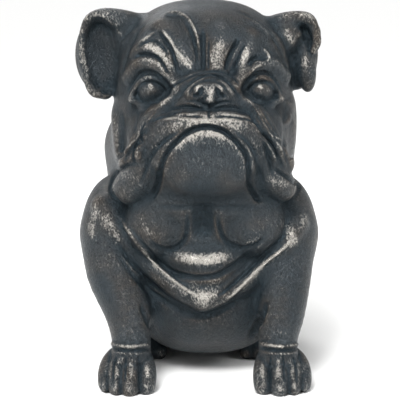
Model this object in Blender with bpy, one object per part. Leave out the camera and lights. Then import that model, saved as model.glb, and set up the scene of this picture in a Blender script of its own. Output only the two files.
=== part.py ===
"""A seated bulldog statue, cast in one piece: the solid, in metres, +Z up, facing -Y.

The figure is worked as clay. Rounded masses and tapering ropes are blended into one skin,
carved lines drawn on a front sheet are pressed into it or raised from it, and the skin
is then cut flat at the ground and thinned to facets.
"""

import math

import bmesh
import bpy
import numpy as np
from mathutils import Matrix

# Sizes of the figure. One unit is a 300th of the height
HEIGHT_MM = 300.0
UNIT = HEIGHT_MM / 300.0

HEAD_AXIS = 2.0
HEAD_WIDTH = 142.0
HEAD_DEPTH = 124.0
HEAD_TALL = 150.0
HEAD_MIDDLE = 226.0
CHEEK_WIDTH = 145.0
SNOUT_WIDTH = 124.0
CHIN_WIDTH = 84.0
CHIN_TALL = 68.0
EYE_SPACING = 83.5
EYE_LEVEL = 234.0
EYE_RADIUS = 9.8
BROW_LEVEL = 254.0
NOSE_LEVEL = 234.0
NOSE_WIDTH = 24.0
EAR_TALL = 66.0
EAR_THICK = 20.0

SHOULDER_AXIS = -3.5
SHOULDER_SPACING = 141.0
SHOULDER_LEVEL = 120.5
NECK_WIDTH = 160.0
RIB_WIDTH = 160.0
BELLY_WIDTH = 132.0
RUMP_WIDTH = 144.0
HAUNCH_SPACING = 112.0
HIND_TOE_STEP = 9.5

PAW_AXIS = 1.0
PAW_SPACING = 118.0
WRIST_RADIUS = 15.5
TOE_OFFSETS = (-18.5, -9.8, 0.6, 13.0)
TOE_FRONTS = (-69.0, -75.0, -77.0, -73.0)
TOE_RADII = (6.0, 7.0, 7.8, 7.6)

# The point from which the front sheet is laid on the skin, and the depth of the sheet
SIGHT = np.array([-2.6, -1150.0, 352.0])
SHEET_Y = -60.0

# Mesh sizes
CLAY_STEP = 2.0
GROUND_SNAP = 0.3
FACETS = 9600


def soft_union(a, b, reach):
    """The lower of two distances, rounded where they meet within reach."""
    share = np.clip(0.5 + 0.5 * (b - a) / reach, 0.0, 1.0)
    return b * (1.0 - share) + a * share - reach * share * (1.0 - share)


def turned(angles):
    """Rotation matrix of three angles in degrees about X, Y and Z."""
    x, y, z = [math.radians(value) for value in angles]
    about_x = Matrix.Rotation(x, 3, "X")
    about_y = Matrix.Rotation(y, 3, "Y")
    about_z = Matrix.Rotation(z, 3, "Z")
    return np.array(about_z @ about_y @ about_x)


def flowing(points, steps):
    """A smooth line through the points."""
    ends = np.array(points, float)
    line = np.vstack([2 * ends[0] - ends[1], ends, 2 * ends[-1] - ends[-2]])
    found = []
    for index in range(1, len(line) - 2):
        a, b, c, d = line[index - 1 : index + 3]
        for step in range(steps):
            t = step / steps
            slope = (c - a) * t
            bend = (2 * a - 5 * b + 4 * c - d) * t * t
            twist = (3 * b - a - 3 * c + d) * t**3
            found.append(0.5 * (2 * b + slope + bend + twist))
    found.append(ends[-1])
    return np.array(found)


def spread(value, count):
    """One value for each of count points."""
    return list(value) if isinstance(value, (tuple, list)) else [value] * count


class Egg:
    """A rounded mass: an ellipsoid, boxier as its power rises above two."""

    def __init__(self, centre, radii, turn=(0, 0, 0), blend=6.0, power=2.0, hollow=False):
        self.centre = np.array(centre, float)
        self.radii = np.array(radii, float)
        self.axes = turned(turn)
        self.blend = blend
        self.power = power
        self.hollow = hollow
        half = np.abs(self.axes) @ self.radii
        self.low = self.centre - half
        self.high = self.centre + half

    def distance(self, points):
        share = ((points - self.centre) @ self.axes) / self.radii
        if self.power == 2.0:
            size = np.sqrt((share**2).sum(axis=1))
            slope = np.sqrt(((share / self.radii) ** 2).sum(axis=1))
            return size * (size - 1.0) / np.maximum(slope, 1e-6)
        total = np.maximum((np.abs(share) ** self.power).sum(axis=1), 1e-12)
        size = total ** (1.0 / self.power)
        steep = np.abs(share) ** (self.power - 1.0) / self.radii
        slope = np.sqrt((steep**2).sum(axis=1)) * total ** (1.0 / self.power - 1.0)
        return (size - 1.0) / np.maximum(slope, 1e-6)

    def balls(self):
        yield self.centre, self.axes, self.radii


class Rope:
    """A tapering tube along a smooth line."""

    def __init__(self, points, radii, blend=4.0, hollow=False):
        with_radius = [(*p, r) for p, r in zip(points, spread(radii, len(points)))]
        line = flowing(with_radius, 4)
        self.line = line[:, :3]
        self.radii = line[:, 3]
        self.blend = blend
        self.hollow = hollow
        self.low = self.line.min(axis=0) - self.radii.max()
        self.high = self.line.max(axis=0) + self.radii.max()

    def distance(self, points):
        start = self.line[:-1]
        along = self.line[1:] - start
        square = np.maximum((along**2).sum(axis=1), 1e-9)
        found = []
        for some in np.array_split(points, len(points) // 4000 + 1):
            offset = some[:, None, :] - start
            t = np.clip(np.einsum("psk,sk->ps", offset, along) / square, 0.0, 1.0)
            gap = offset - t[:, :, None] * along
            reach = np.sqrt(np.einsum("psk,psk->ps", gap, gap))
            found.append((reach - self.radii[:-1] * (1.0 - t) - self.radii[1:] * t).min(axis=1))
        return np.concatenate(found)

    def balls(self):
        for index in range(len(self.line) - 1):
            start, end = self.line[index], self.line[index + 1]
            first, last = self.radii[index], self.radii[index + 1]
            count = max(1, int(np.linalg.norm(end - start) / (min(first, last) * 0.4)))
            for step in range(count):
                t = step / count
                yield start * (1 - t) + end * t, np.eye(3), np.full(3, first * (1 - t) + last * t)


class Line:
    """A carved line on the front sheet: a ridge where its height is above zero, else a groove."""

    def __init__(self, points, height, half_width, ends=0.25):
        self.path = flowing(points, 6)
        self.height = height
        self.half_width = half_width
        self.ends = ends
        self.depth = np.zeros(len(self.path))

    def lift(self, points, sheet):
        found = np.zeros(len(points))
        margin = self.half_width * 1.5
        inside = (sheet > self.path.min(axis=0) - margin) & (sheet < self.path.max(axis=0) + margin)
        near = np.all(inside, axis=1)
        if not near.any():
            return found
        spot = sheet[near]
        gap = np.full(len(spot), 1e9)
        place = np.zeros(len(spot))
        last = len(self.path) - 1
        for index in range(last):
            start = self.path[index]
            along = self.path[index + 1] - start
            offset = spot - start
            t = np.clip(offset @ along / max(along @ along, 1e-9), 0.0, 1.0)
            reach = np.sqrt(((offset - t[:, None] * along) ** 2).sum(axis=1))
            closer = reach < gap
            gap[closer] = reach[closer]
            place[closer] = index + t[closer]
        across = np.clip(gap / self.half_width, 0.0, 1.0)
        profile = np.cos(across * math.pi / 2) ** 2
        share = place / last
        taper = np.clip(share / self.ends, 0, 1) * np.clip((1 - share) / self.ends, 0, 1)
        taper = taper * taper * (3 - 2 * taper)
        skin = np.interp(place, np.arange(last + 1), self.depth)
        away = np.abs(points[near, 1] - skin)
        found[near] = self.height * profile * taper * np.clip(1 - (away - 15.0) / 10.0, 0, 1)
        return found


class Clay:
    """The blended masses and the carved lines of the figure."""

    def __init__(self):
        self.masses = []
        self.lines = []

    def egg(self, *sizes, **options):
        self.masses.append(Egg(*sizes, **options))

    def rope(self, *sizes, **options):
        self.masses.append(Rope(*sizes, **options))

    def groove(self, points, depth, half_width, ends=0.25):
        self.lines.append(Line(points, -depth, half_width, ends))

    def ridge(self, points, height, half_width, ends=0.25):
        self.lines.append(Line(points, height, half_width, ends))

    def distance(self, points, far=60.0):
        """Distance from the skin, below zero inside. Each mass is asked only near its own box."""
        found = np.full(len(points), far)
        for mass in self.masses:
            margin = mass.blend + 14.0 if far < 100.0 else far
            inside = (points > mass.low - margin) & (points < mass.high + margin)
            near = np.all(inside, axis=1)
            if not near.any():
                continue
            own = mass.distance(points[near])
            if mass.hollow:
                found[near] = -soft_union(-found[near], own, mass.blend)
            else:
                found[near] = soft_union(found[near], own, mass.blend)
        return found

    def slope(self, points, step=0.25):
        """Gradient of the distance, from four corners about each point."""
        total = np.zeros_like(points)
        for corner in ((1, -1, -1), (-1, -1, 1), (-1, 1, -1), (1, 1, 1)):
            way = np.array(corner, float)
            total += way * self.distance(points + way * step)[:, None]
        return total / (4.0 * step)

    def settle(self, points, rounds):
        """Moves points onto the skin."""
        for _ in range(rounds):
            gap = np.clip(self.distance(points), -6.0, 6.0)
            way = self.slope(points)
            steep = np.maximum((way**2).sum(axis=1), 0.2)
            points = points - way * (gap / steep)[:, None]
        return points

    def skin_depth(self, sheet):
        """Where the sight line through each spot of the front sheet first meets the skin."""
        spots = np.atleast_2d(np.array(sheet, float))
        target = np.stack([spots[:, 0], np.full(len(spots), SHEET_Y), spots[:, 1]], axis=1)
        way = target - SIGHT
        length = np.linalg.norm(way, axis=1)
        way /= length[:, None]
        travel = length - 70.0
        for _ in range(26):
            gap = self.distance(SIGHT + way * travel[:, None], far=400.0)
            travel += np.where(gap > 0.1, gap * 0.9, 0.0)
            travel = np.minimum(travel, 1500.0)
        return (SIGHT + way * travel[:, None])[:, 1]

    def placed(self, spot, depth):
        """The point at this depth on the sight line through a spot of the front sheet."""
        target = np.array([spot[0], SHEET_Y, spot[1]])
        way = target - SIGHT
        return SIGHT + way * (depth - SIGHT[1]) / way[1]

    def laid_rope(self, spots, radii, proud, **options):
        """A rope laid on the skin, its crest standing proud by the given amounts."""
        depths = self.skin_depth(spots)
        radii = spread(radii, len(spots))
        rise = spread(proud, len(spots))
        points = [
            self.placed(spot, depth + radius - lift)
            for spot, depth, radius, lift in zip(spots, depths, radii, rise)
        ]
        self.masses.append(Rope(points, radii, **options))

    def laid_egg(self, spot, radii, proud, turn=(0, 0, 0), **options):
        """A rounded mass laid on the skin, standing proud by the given amount."""
        depth = self.skin_depth([spot])[0]
        self.masses.append(Egg(self.placed(spot, depth + radii[1] - proud), radii, turn, **options))

    def press_lines(self):
        """Finds the depth of the skin under every carved line."""
        depths = self.skin_depth(np.vstack([line.path for line in self.lines]))
        start = 0
        for line in self.lines:
            line.depth = depths[start : start + len(line.path)]
            start += len(line.path)

    def carve(self, points):
        """Moves points on the skin out or in by the carved lines."""
        way = self.slope(points)
        way /= np.maximum(np.linalg.norm(way, axis=1), 1e-6)[:, None]
        reach = (SHEET_Y - SIGHT[1]) / (points[:, 1] - SIGHT[1])
        across = SIGHT[0] + (points[:, 0] - SIGHT[0]) * reach
        up = SIGHT[2] + (points[:, 2] - SIGHT[2]) * reach
        sheet = np.stack([across, up], axis=1)
        total = np.zeros(len(points))
        for line in self.lines:
            total += line.lift(points, sheet)
        return points + way * total[:, None]


def model_body(clay):
    """Ribs, rump, belly, neck and stub tail."""
    clay.egg((-3, 30, 118), (RIB_WIDTH / 2, 76, 84), (-20, 0, 0), blend=10)
    clay.egg((0, 66, 58), (RUMP_WIDTH / 2, 66, 62), blend=14)
    clay.egg((3, 12, 74), (BELLY_WIDTH / 2, 70, 64), blend=12, power=2.5)
    clay.egg((-1, -20, 128), (66, 50, 50), blend=10)
    clay.egg((0, -34, 92), (34, 38, 26), blend=10)
    clay.egg((-3, 36, 176), (NECK_WIDTH / 2, 60, 58), (-14, 0, 0), blend=16)
    clay.rope([(0, 124, 44), (4, 136, 38), (3, 139, 30)], [13, 9, 7], blend=7)


def model_haunches(clay):
    """Haunches with flat hind feet of three toes."""
    for side in (-1, 1):
        clay.egg((side * HAUNCH_SPACING / 2, 58, 50), (28, 50, 50), (8, 0, -side * 5), blend=6)
        foot = [(side * 56, 42, 12), (side * 50, 26, 10), (side * 46, 16, 8)]
        clay.rope(foot, [17, 15, 12], blend=5)
        for toe in range(3):
            across = side * (58 - HIND_TOE_STEP * toe)
            front = 8 + 2 * abs(toe - 1)
            clay.rope([(across, 22, 8), (across - side * 2, front, 6)], [7, 6.5], blend=2)


def model_head(clay):
    """Skull, cheeks, snout, chin, jaw and throat."""
    clay.egg((0.3, 4, HEAD_MIDDLE), (HEAD_WIDTH / 2, HEAD_DEPTH / 2, HEAD_TALL / 2), blend=10, power=2.5)
    clay.egg((-0.5, -4, 192), (CHEEK_WIDTH / 2, 52, 48), blend=12, power=2.7)
    clay.egg((3.5, -50, 222), (36, 34, 24), blend=10)
    clay.egg((3, -42, 195), (SNOUT_WIDTH / 2, 42, 36), blend=8, power=2.6)
    clay.egg((3, -56, 183), (CHIN_WIDTH / 2, 42, CHIN_TALL / 2), blend=6, power=2.4)
    clay.egg((2, -40, 168), (52, 40, 20), blend=6, power=2.5)
    clay.egg((1, -50, 146), (50, 27, 20), blend=12)


def model_forelegs(clay):
    """Shoulders, forelegs and four-toed paws with nails."""
    for side in (-1, 1):
        shoulder = SHOULDER_AXIS + side * SHOULDER_SPACING / 2
        paw = PAW_AXIS + side * PAW_SPACING / 2
        clay.egg((shoulder, -10, SHOULDER_LEVEL), (25, 40, 40.5), (0, -side * 7, 0), blend=10)
        leg = [
            (shoulder + side * -0.5, -24, 113.5),
            (shoulder + side * -2, -40, 88.5),
            (paw + side * 2.5, -54, 59),
            (paw - side * 1, -63, 39),
            (paw - side * 0.5, -66, 23.5),
        ]
        clay.rope(leg, [24, 21.8, 18.3, WRIST_RADIUS, WRIST_RADIUS], blend=9)
        clay.egg((paw, -66, 9), (18, 17, 11), blend=4, power=2.5)
        for offset, front, radius in zip(TOE_OFFSETS, TOE_FRONTS, TOE_RADII):
            tip = paw - side * offset
            root = (tip + paw) / 2
            toe = [
                (root, -56, 24),
                (root * 0.3 + tip * 0.7, front + 6, 19.5),
                (tip, front - 2, 13.5),
                (tip, front - 8.5, 6.8),
                (tip, front - 10.8, 4.4),
            ]
            swell = [radius + 1.5, radius + 0.8, radius + 0.5, radius + 0.2, radius - 1.6]
            clay.rope(toe, swell, blend=1.2)
            nail = [(tip, front - 12.5, 10), (tip, front - 14.8, 7), (tip, front - 15.2, 4)]
            clay.rope(nail, [2.3, 2.6, 2.2], blend=1.0)


def model_ears(clay):
    """A cupped ear on one side, a folded ear on the other."""
    half = EAR_TALL / 2
    for side in (-1, 1):
        clay.rope([(side * 43, 2, 273.5), (side * 59.5, 2, 273.5)], [13, 9], blend=5)
    clay.egg((-79.5, 4, 257.5), (24, EAR_THICK / 2, half), (0, 3, 0), blend=5)
    cup_rim = [
        (-52, -3, 281),
        (-67, -8, 285.5),
        (-81, -8, 288),
        (-91.5, -6, 283),
        (-96, -4, 265),
        (-94, -4, 245),
        (-89, -6, 229),
        (-79.5, -6, 226.5),
    ]
    clay.rope(cup_rim, [9, 8.5, 6.5, 5, 3.8, 3.8, 4.5, 5.0], blend=7)
    clay.rope([(-60, -9, 277), (-64, -10, 262), (-68, -8, 246)], [6, 5, 4], blend=6)
    clay.egg((-82, -15, 257), (12.5, 16, 27), (0, -4, 0), blend=5, hollow=True)
    clay.rope([(-79, -10, 246), (-76, -9, 236), (-78, -8, 230)], [7, 6, 4], blend=3, hollow=True)
    clay.egg((72.5, 4, 259), (20, EAR_THICK / 2, half - 2), (0, -5, 0), blend=4)
    fold_rim = [(50.5, -2, 281), (63, -6, 285), (75.5, -7, 287), (84.5, -6, 285), (89.5, -5, 275.5)]
    clay.rope(fold_rim, [6, 6, 5.5, 5, 4], blend=4)
    clay.egg((66, -8, 272), (13, 9, 12), (0, 20, 0), blend=6)
    clay.egg((82, -3, 247), (8.5, 9, 20), (0, -8, 0), blend=4)
    clay.rope([(89.5, -7, 277), (90.5, -8, 268), (88, -8, 261)], [3.8, 3.8, 3.4], blend=2)
    fold = [(86.5, -13, 280), (80, -14, 268), (74.5, -13, 254), (71.5, -11, 238)]
    clay.rope(fold, [2.5, 4.5, 4.5, 3], blend=3, hollow=True)


def model_flews(clay):
    """Hanging lips, the second lip lobe beside each, and the rim of the chin."""
    offsets = (0, 17, 31, 39.5, 45, 51.5, 58)
    depths = (-90, -87, -80, -72, -66, -59, -53)
    levels = (214.5, 212.5, 205.5, 194, 182, 168, 158.5)
    axis = HEAD_AXIS + 0.5
    for side, corner in ((-1, 14.5), (1, 12.0)):
        lip = [(axis + side * x, y, z) for x, y, z in zip(offsets, depths, levels)]
        clay.rope(lip, [6.5, 8.5, 11, 12.5, 13, 14, corner], blend=6)
        upper = ((34, -69, 207), (43, -62, 196), (50, -54, 184))
        clay.rope([(axis + side * x, y, z) for x, y, z in upper], [12, 12.5, 12], blend=8)
        clay.laid_egg((axis + side * 50.5, 186.5), (6.5, 9, 9), 2.5, blend=2)
    rim = [(-29, 180.5), (-22.5, 191), (-12, 198), (3.5, 201), (17.5, 198), (27.5, 190), (32, 179)]
    clay.laid_rope(rim, 9, [2, 3, 4, 4, 4, 3, 2], blend=7)


def model_nose(clay):
    """Fold over the nose, hood, nose pad and nostrils."""
    arch = [(-27, 226.5), (-17, 237.5), (-7, 243.5), (4.5, 245), (16, 243.5), (26, 235.5), (34.5, 225.5)]
    clay.laid_rope(arch, 5, [3, 3.5, 4, 4, 4, 3.5, 3], blend=4)
    clay.laid_egg((4.5, 231), (21.5, 22, 13), 4.0, blend=3, power=2.5)
    clay.laid_egg((4.0, NOSE_LEVEL + 0.6), (NOSE_WIDTH / 2, 12, 7.0), 5.0, blend=1.0, power=2.6)
    clay.laid_egg((4.8, NOSE_LEVEL - 5.5), (5.6, 10, 6.5), 3.0, blend=1.0)
    for side in (-1, 1):
        comma = ((5.6, 1.2), (7.2, -1.0), (9.0, -3.0), (11.4, -3.4))
        hole = [(4.5 + side * x, NOSE_LEVEL + z) for x, z in comma]
        clay.laid_rope(hole, [2.2, 2.6, 2.2, 1.8], [1.8, 2.4, 1.8, 1.2], blend=0.8, hollow=True)


def model_cheek_folds(clay):
    """Folds falling from the nose to the corners of the lips."""
    for side in (-1, 1):
        offsets = (32, 41.5, 48, 55, 62.5)
        levels = (225.5, 215, 203, 190, 177)
        fold = [(HEAD_AXIS + side * x, z) for x, z in zip(offsets, levels)]
        clay.laid_rope(fold, [5, 6, 6, 6, 5], [2, 2.5, 2.2, 2, 2], blend=6)


def model_forehead(clay):
    """Wrinkle pads and brows."""
    outer = [(-51.5, 263.5), (-44, 268.5), (-34.5, 265.5), (-27, 255.5), (-19.5, 243.5)]
    clay.laid_rope(outer, [4.5, 6, 7, 7, 6], [1.5, 3, 3.4, 3, 2.2], blend=7)
    left = [(-32.5, 282.5), (-25.5, 273), (-18.5, 263.5), (-12, 253.5)]
    clay.laid_rope(left, [6, 8.5, 10, 9.5], [0.3, 2.2, 3.4, 3], blend=7)
    middle = [(14, 277.5), (12, 268.5), (10.5, 259.5), (9.5, 250.5)]
    clay.laid_rope(middle, [6, 9, 10, 9], [0.2, 2.0, 3.2, 3], blend=7)
    right = [(36.5, 274.5), (33.5, 265.5), (30.5, 256.5), (29, 247.5)]
    clay.laid_rope(right, [5, 6.5, 6.5, 6], [0.4, 2.2, 3, 2.6], blend=7)
    offsets = (60, 51, 40, 31, 23)
    rises = (-9, 0.5, 0.5, -6, -17)
    for side in (-1, 1):
        brow = [(HEAD_AXIS + side * x, BROW_LEVEL + z) for x, z in zip(offsets, rises)]
        clay.laid_rope(brow, [5, 6, 6.5, 6.5, 5.5], [2, 3.5, 4, 4, 3], blend=4)


def model_eyes(clay):
    """Sockets, eyeballs, lids and the bags under them."""
    for side in (-1, 1):
        middle = HEAD_AXIS + side * EYE_SPACING / 2
        clay.egg((middle, -67, EYE_LEVEL + 2.5), (15, 12, 10.5), blend=4, hollow=True)
    for side in (-1, 1):
        middle = HEAD_AXIS + side * EYE_SPACING / 2
        ball = (EYE_RADIUS + 0.8, EYE_RADIUS + 0.4, EYE_RADIUS * 0.95)
        clay.egg((middle, -49.2, EYE_LEVEL - 0.5), ball, blend=0.6)
        upper = zip((17, 10.5, 2, -7, -15.5), (-48, -53.2, -57, -57.5, -57), (-7, 4.8, 10.2, 7.4, -1.5))
        lid = [(middle + side * x, y, EYE_LEVEL + z) for x, y, z in upper]
        clay.rope(lid, [2.2, 2.8, 3.0, 2.8, 2.4], blend=2.4)
        lower = zip((15, 7, -1, -8.5, -15.5), (-50, -54, -57, -58, -57), (-8, -11, -12.2, -9.5, -3.2))
        bag = [(middle + side * x, y, EYE_LEVEL + z) for x, y, z in lower]
        clay.rope(bag, [2.4, 3.0, 3.4, 3.0, 2.2], blend=5)


def model_chest(clay):
    """Dewlap lobes under the chin, the bulge between them and the folds that meet in a V."""
    clay.laid_egg((-37, 130), (25, 24, 26), 8, (0, 18, 0), blend=6)
    clay.laid_egg((38, 131.5), (26, 24, 27), 8, (0, -15, 0), blend=6)
    clay.laid_egg((0, 106), (31, 26, 13), 7, blend=6)
    left = [(-79, 145), (-66.5, 125.5), (-49.5, 105.5), (-31, 88.5), (-13.5, 76.5), (0.5, 70.5)]
    clay.laid_rope(left, [8, 9, 9.5, 9.5, 10, 10], [2.5, 4.5, 6, 7, 7, 6], blend=5)
    right = [(74, 131.5), (61.5, 113.5), (46, 97.5), (30.5, 83.5), (14.5, 74), (0.5, 70.5)]
    clay.laid_rope(right, [8, 9.5, 9.5, 9.5, 9.5, 10], [3.5, 6, 7, 7, 7, 6], blend=5)


def carve_face(clay):
    """Channels of the forehead, creases of the nose and lips, and the line of the mouth."""
    clay.groove([(-0.5, 284), (-0.5, 271.5), (-0.5, 259.5), (0, 248)], 2.8, 2.8)
    crest = [(-34.5, 290), (-26, 293), (-17, 292.5), (-10, 287), (-5.5, 277.5), (-3.5, 268.5), (-2.5, 259.5)]
    clay.ridge(crest, 2.2, 2.4)
    clay.groove([(-34.5, 281), (-29.5, 273), (-24.5, 265), (-21.5, 256.5), (-18.5, 246.5)], 2.8, 2.4)
    clay.groove([(28, 276), (22.5, 267), (19, 258.5), (16.5, 248)], 2.8, 2.4)
    clay.groove([(32.5, 271.5), (28, 263.5), (24.5, 255), (22.5, 246.5)], 1.6, 1.8)
    clay.groove([(-54.5, 258), (-48.5, 262), (-41, 262), (-34.5, 259.5), (-29.5, 252.5), (-25, 245)], 2.4, 2.0)
    clay.groove([(35, 252.5), (37, 258), (42.5, 260), (50, 258)], 2.6, 3.0)
    temple = [(18.5, 296.5), (32.5, 292), (44.5, 284), (54.5, 272.5), (61, 259.5), (64, 244)]
    clay.groove(temple, 1.2, 2.0)
    hood = [(-19.5, 226.5), (-15, 235), (-7, 242.5), (1, 246), (8, 246.5), (16.5, 242.5), (23.5, 235), (29, 226.5)]
    clay.groove(hood, 1.6, 1.8)
    clay.groove([(4.5, 224), (4, 219), (4.5, 211)], 1.6, 1.8)
    clay.groove([(3, 213.5), (-9, 215), (-21, 216), (-32.5, 214), (-42, 209.5)], 1.6, 1.8)
    clay.groove([(6, 213.5), (17.5, 215), (29.5, 213.5), (39, 210.5), (46.5, 204)], 1.6, 1.8)
    clay.groove([(-46.5, 194), (-52, 188.5), (-54.5, 183), (-52, 178.5)], 1.6, 2.2)
    clay.groove([(45.5, 196.5), (52.5, 189), (57, 182), (57, 176)], 1.6, 2.2)
    left_lobe = [(-49, 177.5), (-60.5, 175), (-70, 166.5), (-72.5, 158.5), (-69.5, 151.5), (-63.5, 147)]
    clay.groove(left_lobe, 1.8, 2.4)
    clay.groove([(48.5, 176), (59.5, 171), (69, 164), (73.5, 158.5), (69, 149)], 1.8, 2.4)
    left = [(-41.5, 147.5), (-36, 160), (-33.5, 173), (-29.5, 184.5), (-22, 194), (-14, 201), (-6.5, 205)]
    right = [(13, 204), (20.5, 199.5), (28.5, 191.5), (34, 182), (35.5, 171), (36, 160), (41, 151.5), (45.5, 147)]
    clay.groove(left + [(3.5, 206.5)] + right, 3.4, 3.2, ends=0.06)
    clay.groove([(-41.5, 144.5), (-22, 143), (1.5, 143), (28.5, 143), (58, 144.5)], 1.0, 4.0)


def carve_body(clay):
    """Creases of the chest and the legs, and the rings of the wrists."""
    inner = [(-54, 123.5), (-42.5, 107.5), (-27, 96.5), (-11, 89), (0.5, 87.5), (14, 91), (32.5, 104.5), (50, 120.5)]
    clay.groove(inner, 2.6, 4.0)
    outer = [(-71.5, 117.5), (-62, 99), (-45, 79.5), (-26.5, 65.5), (-6, 56), (15, 61.5), (33, 76.5), (51, 93)]
    clay.groove(outer, 1.4, 4.5)
    clay.groove([(-0.5, 148), (-0.5, 132), (-0.5, 114)], 6.5, 13.0, ends=0.35)
    clay.groove([(-13.5, 117.5), (-23, 109.5), (-35.5, 106), (-48, 109.5)], 1.8, 4.0)
    clay.groove([(14.5, 117.5), (24, 110), (38, 107.5), (50.5, 114)], 1.8, 4.0)
    clay.ridge([(-72.5, 143), (-59, 123.5), (-43.5, 104.5), (-24.5, 87.5), (-9, 76.5)], 1.6, 3.0)
    clay.ridge([(74, 130), (57, 111), (40, 95), (22.5, 78.5), (8.5, 70.5)], 1.6, 3.0)
    clay.groove([(49.5, 69), (44, 51), (34.5, 34.5)], 3.5, 4.0)
    clay.groove([(-50, 69), (-43.5, 51), (-34.5, 34.5)], 2.0, 4.0)
    for side in (-1, 1):
        paw = PAW_AXIS + side * PAW_SPACING / 2
        clay.ridge([(paw - 16, 32), (paw - 6, 29.7), (paw + 6, 29.4), (paw + 16, 31.2)], 1.8, 2.4, ends=0.1)
        clay.groove([(paw - 16, 28.2), (paw - 6, 26.3), (paw + 6, 26), (paw + 16, 27.5)], 1.4, 1.8, ends=0.1)


def skin_points(mesh):
    flat = np.empty(len(mesh.vertices) * 3, np.float32)
    mesh.vertices.foreach_get("co", flat)
    return flat.reshape(-1, 3).astype(float)


def set_points(mesh, points):
    mesh.vertices.foreach_set("co", points.astype(np.float32).ravel())
    mesh.update()


def lump(clay):
    """An object of overlapping balls that fill the masses."""
    ball = bmesh.new()
    bmesh.ops.create_icosphere(ball, subdivisions=3, radius=1.0)
    shape = np.array([vertex.co[:] for vertex in ball.verts])
    faces = np.array([[vertex.index for vertex in face.verts] for face in ball.faces])
    ball.free()
    points = []
    triangles = []
    for mass in clay.masses:
        if mass.hollow:
            continue
        for centre, axes, radii in mass.balls():
            triangles.append(faces + len(points) * len(shape))
            points.append((shape * radii) @ axes.T + centre)
    mesh = bpy.data.meshes.new("lump")
    mesh.from_pydata(np.vstack(points).tolist(), [], np.vstack(triangles).tolist())
    found = bpy.data.objects.new("bulldog_statue", mesh)
    bpy.context.scene.collection.objects.link(found)
    return found


def applied(obj):
    """Makes the object's modifiers part of its mesh."""
    bpy.context.view_layer.update()
    graph = bpy.context.evaluated_depsgraph_get()
    mesh = bpy.data.meshes.new_from_object(obj.evaluated_get(graph))
    obj.modifiers.clear()
    obj.data = mesh


def reskin(obj, step):
    """One even skin round the object."""
    voxels = obj.modifiers.new("Skin", "REMESH")
    voxels.mode = "VOXEL"
    voxels.voxel_size = step
    voxels.adaptivity = 0.0
    applied(obj)


def thin(obj, facets):
    """Fewer facets, kept where the form bends most."""
    fewer = obj.modifiers.new("Facets", "DECIMATE")
    fewer.ratio = facets / (2.0 * len(obj.data.vertices))
    fewer.use_collapse_triangulate = True
    applied(obj)


def eased(obj, factor):
    """Softens the skin a little."""
    mesh = bmesh.new()
    mesh.from_mesh(obj.data)
    bmesh.ops.smooth_vert(
        mesh, verts=mesh.verts, factor=factor, use_axis_x=True, use_axis_y=True, use_axis_z=True
    )
    mesh.to_mesh(obj.data)
    mesh.free()


def cut_at_ground(obj):
    """Cuts the figure flat at the ground and closes each cut with a flat face."""
    mesh = bmesh.new()
    mesh.from_mesh(obj.data)
    for vertex in mesh.verts:
        if abs(vertex.co.z) < GROUND_SNAP:
            vertex.co.z = 0.0
    everything = mesh.verts[:] + mesh.edges[:] + mesh.faces[:]
    bmesh.ops.bisect_plane(
        mesh, geom=everything, dist=1e-4, plane_co=(0, 0, 0), plane_no=(0, 0, 1), clear_inner=True
    )
    rim = [edge for edge in mesh.edges if edge.is_boundary]
    filled = bmesh.ops.holes_fill(mesh, edges=rim, sides=0)
    bmesh.ops.triangulate(mesh, faces=filled["faces"])
    bmesh.ops.dissolve_degenerate(mesh, dist=1e-3, edges=mesh.edges)
    bmesh.ops.recalc_face_normals(mesh, faces=mesh.faces)
    mesh.to_mesh(obj.data)
    mesh.free()


def stand(obj):
    """Moves the figure so that its origin is under the middle of its box, in metres."""
    points = skin_points(obj.data)
    low = points.min(axis=0)
    high = points.max(axis=0)
    scale = UNIT * 300.0 / (high[2] - low[2]) / 1000.0
    middle = np.array([(low[0] + high[0]) / 2, (low[1] + high[1]) / 2, low[2]])
    set_points(obj.data, (points - middle) * scale)
    print("middle", middle.round(3).tolist(), "scale", round(scale * 1000, 6))


def patina():
    """Dark bronze-grey cast surface."""
    material = bpy.data.materials.new("Dark bronze patina")
    material.use_nodes = True
    shader = material.node_tree.nodes["Principled BSDF"]
    shader.inputs["Base Color"].default_value = (0.062, 0.064, 0.070, 1.0)
    shader.inputs["Metallic"].default_value = 0.35
    shader.inputs["Roughness"].default_value = 0.45
    return material


def main():
    for obj in list(bpy.data.objects):
        bpy.data.objects.remove(obj)
    clay = Clay()
    model_body(clay)
    model_haunches(clay)
    model_head(clay)
    model_forelegs(clay)
    model_ears(clay)
    model_flews(clay)
    model_nose(clay)
    model_cheek_folds(clay)
    model_forehead(clay)
    model_eyes(clay)
    model_chest(clay)
    carve_face(clay)
    carve_body(clay)
    statue = lump(clay)
    reskin(statue, CLAY_STEP * 1.3)
    set_points(statue.data, clay.settle(skin_points(statue.data), 3))
    reskin(statue, CLAY_STEP)
    settled = clay.settle(skin_points(statue.data), 4)
    clay.press_lines()
    set_points(statue.data, clay.carve(settled))
    eased(statue, 0.3)
    thin(statue, FACETS)
    cut_at_ground(statue)
    stand(statue)
    statue.data.materials.clear()
    statue.data.materials.append(patina())


main()
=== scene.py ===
"""The looks of a seated bulldog statue, cast in one piece: its fine skin, its patina and a studio.

The solid of the frame is the blank. A finer skin is drawn over it from the same rounded masses,
the folds, lids, lips and toes are carved into that skin line by line, and its raised places are
measured so that silver wax can brighten them. Highlights on forms that face the lamps, and shade
in creases, on undersides and on a few brightly lit places, are painted into the patina as well.
A plain pale studio shows it from the front, a little from above.
"""

import logging
import math
from dataclasses import dataclass, field
from enum import Enum

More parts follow.
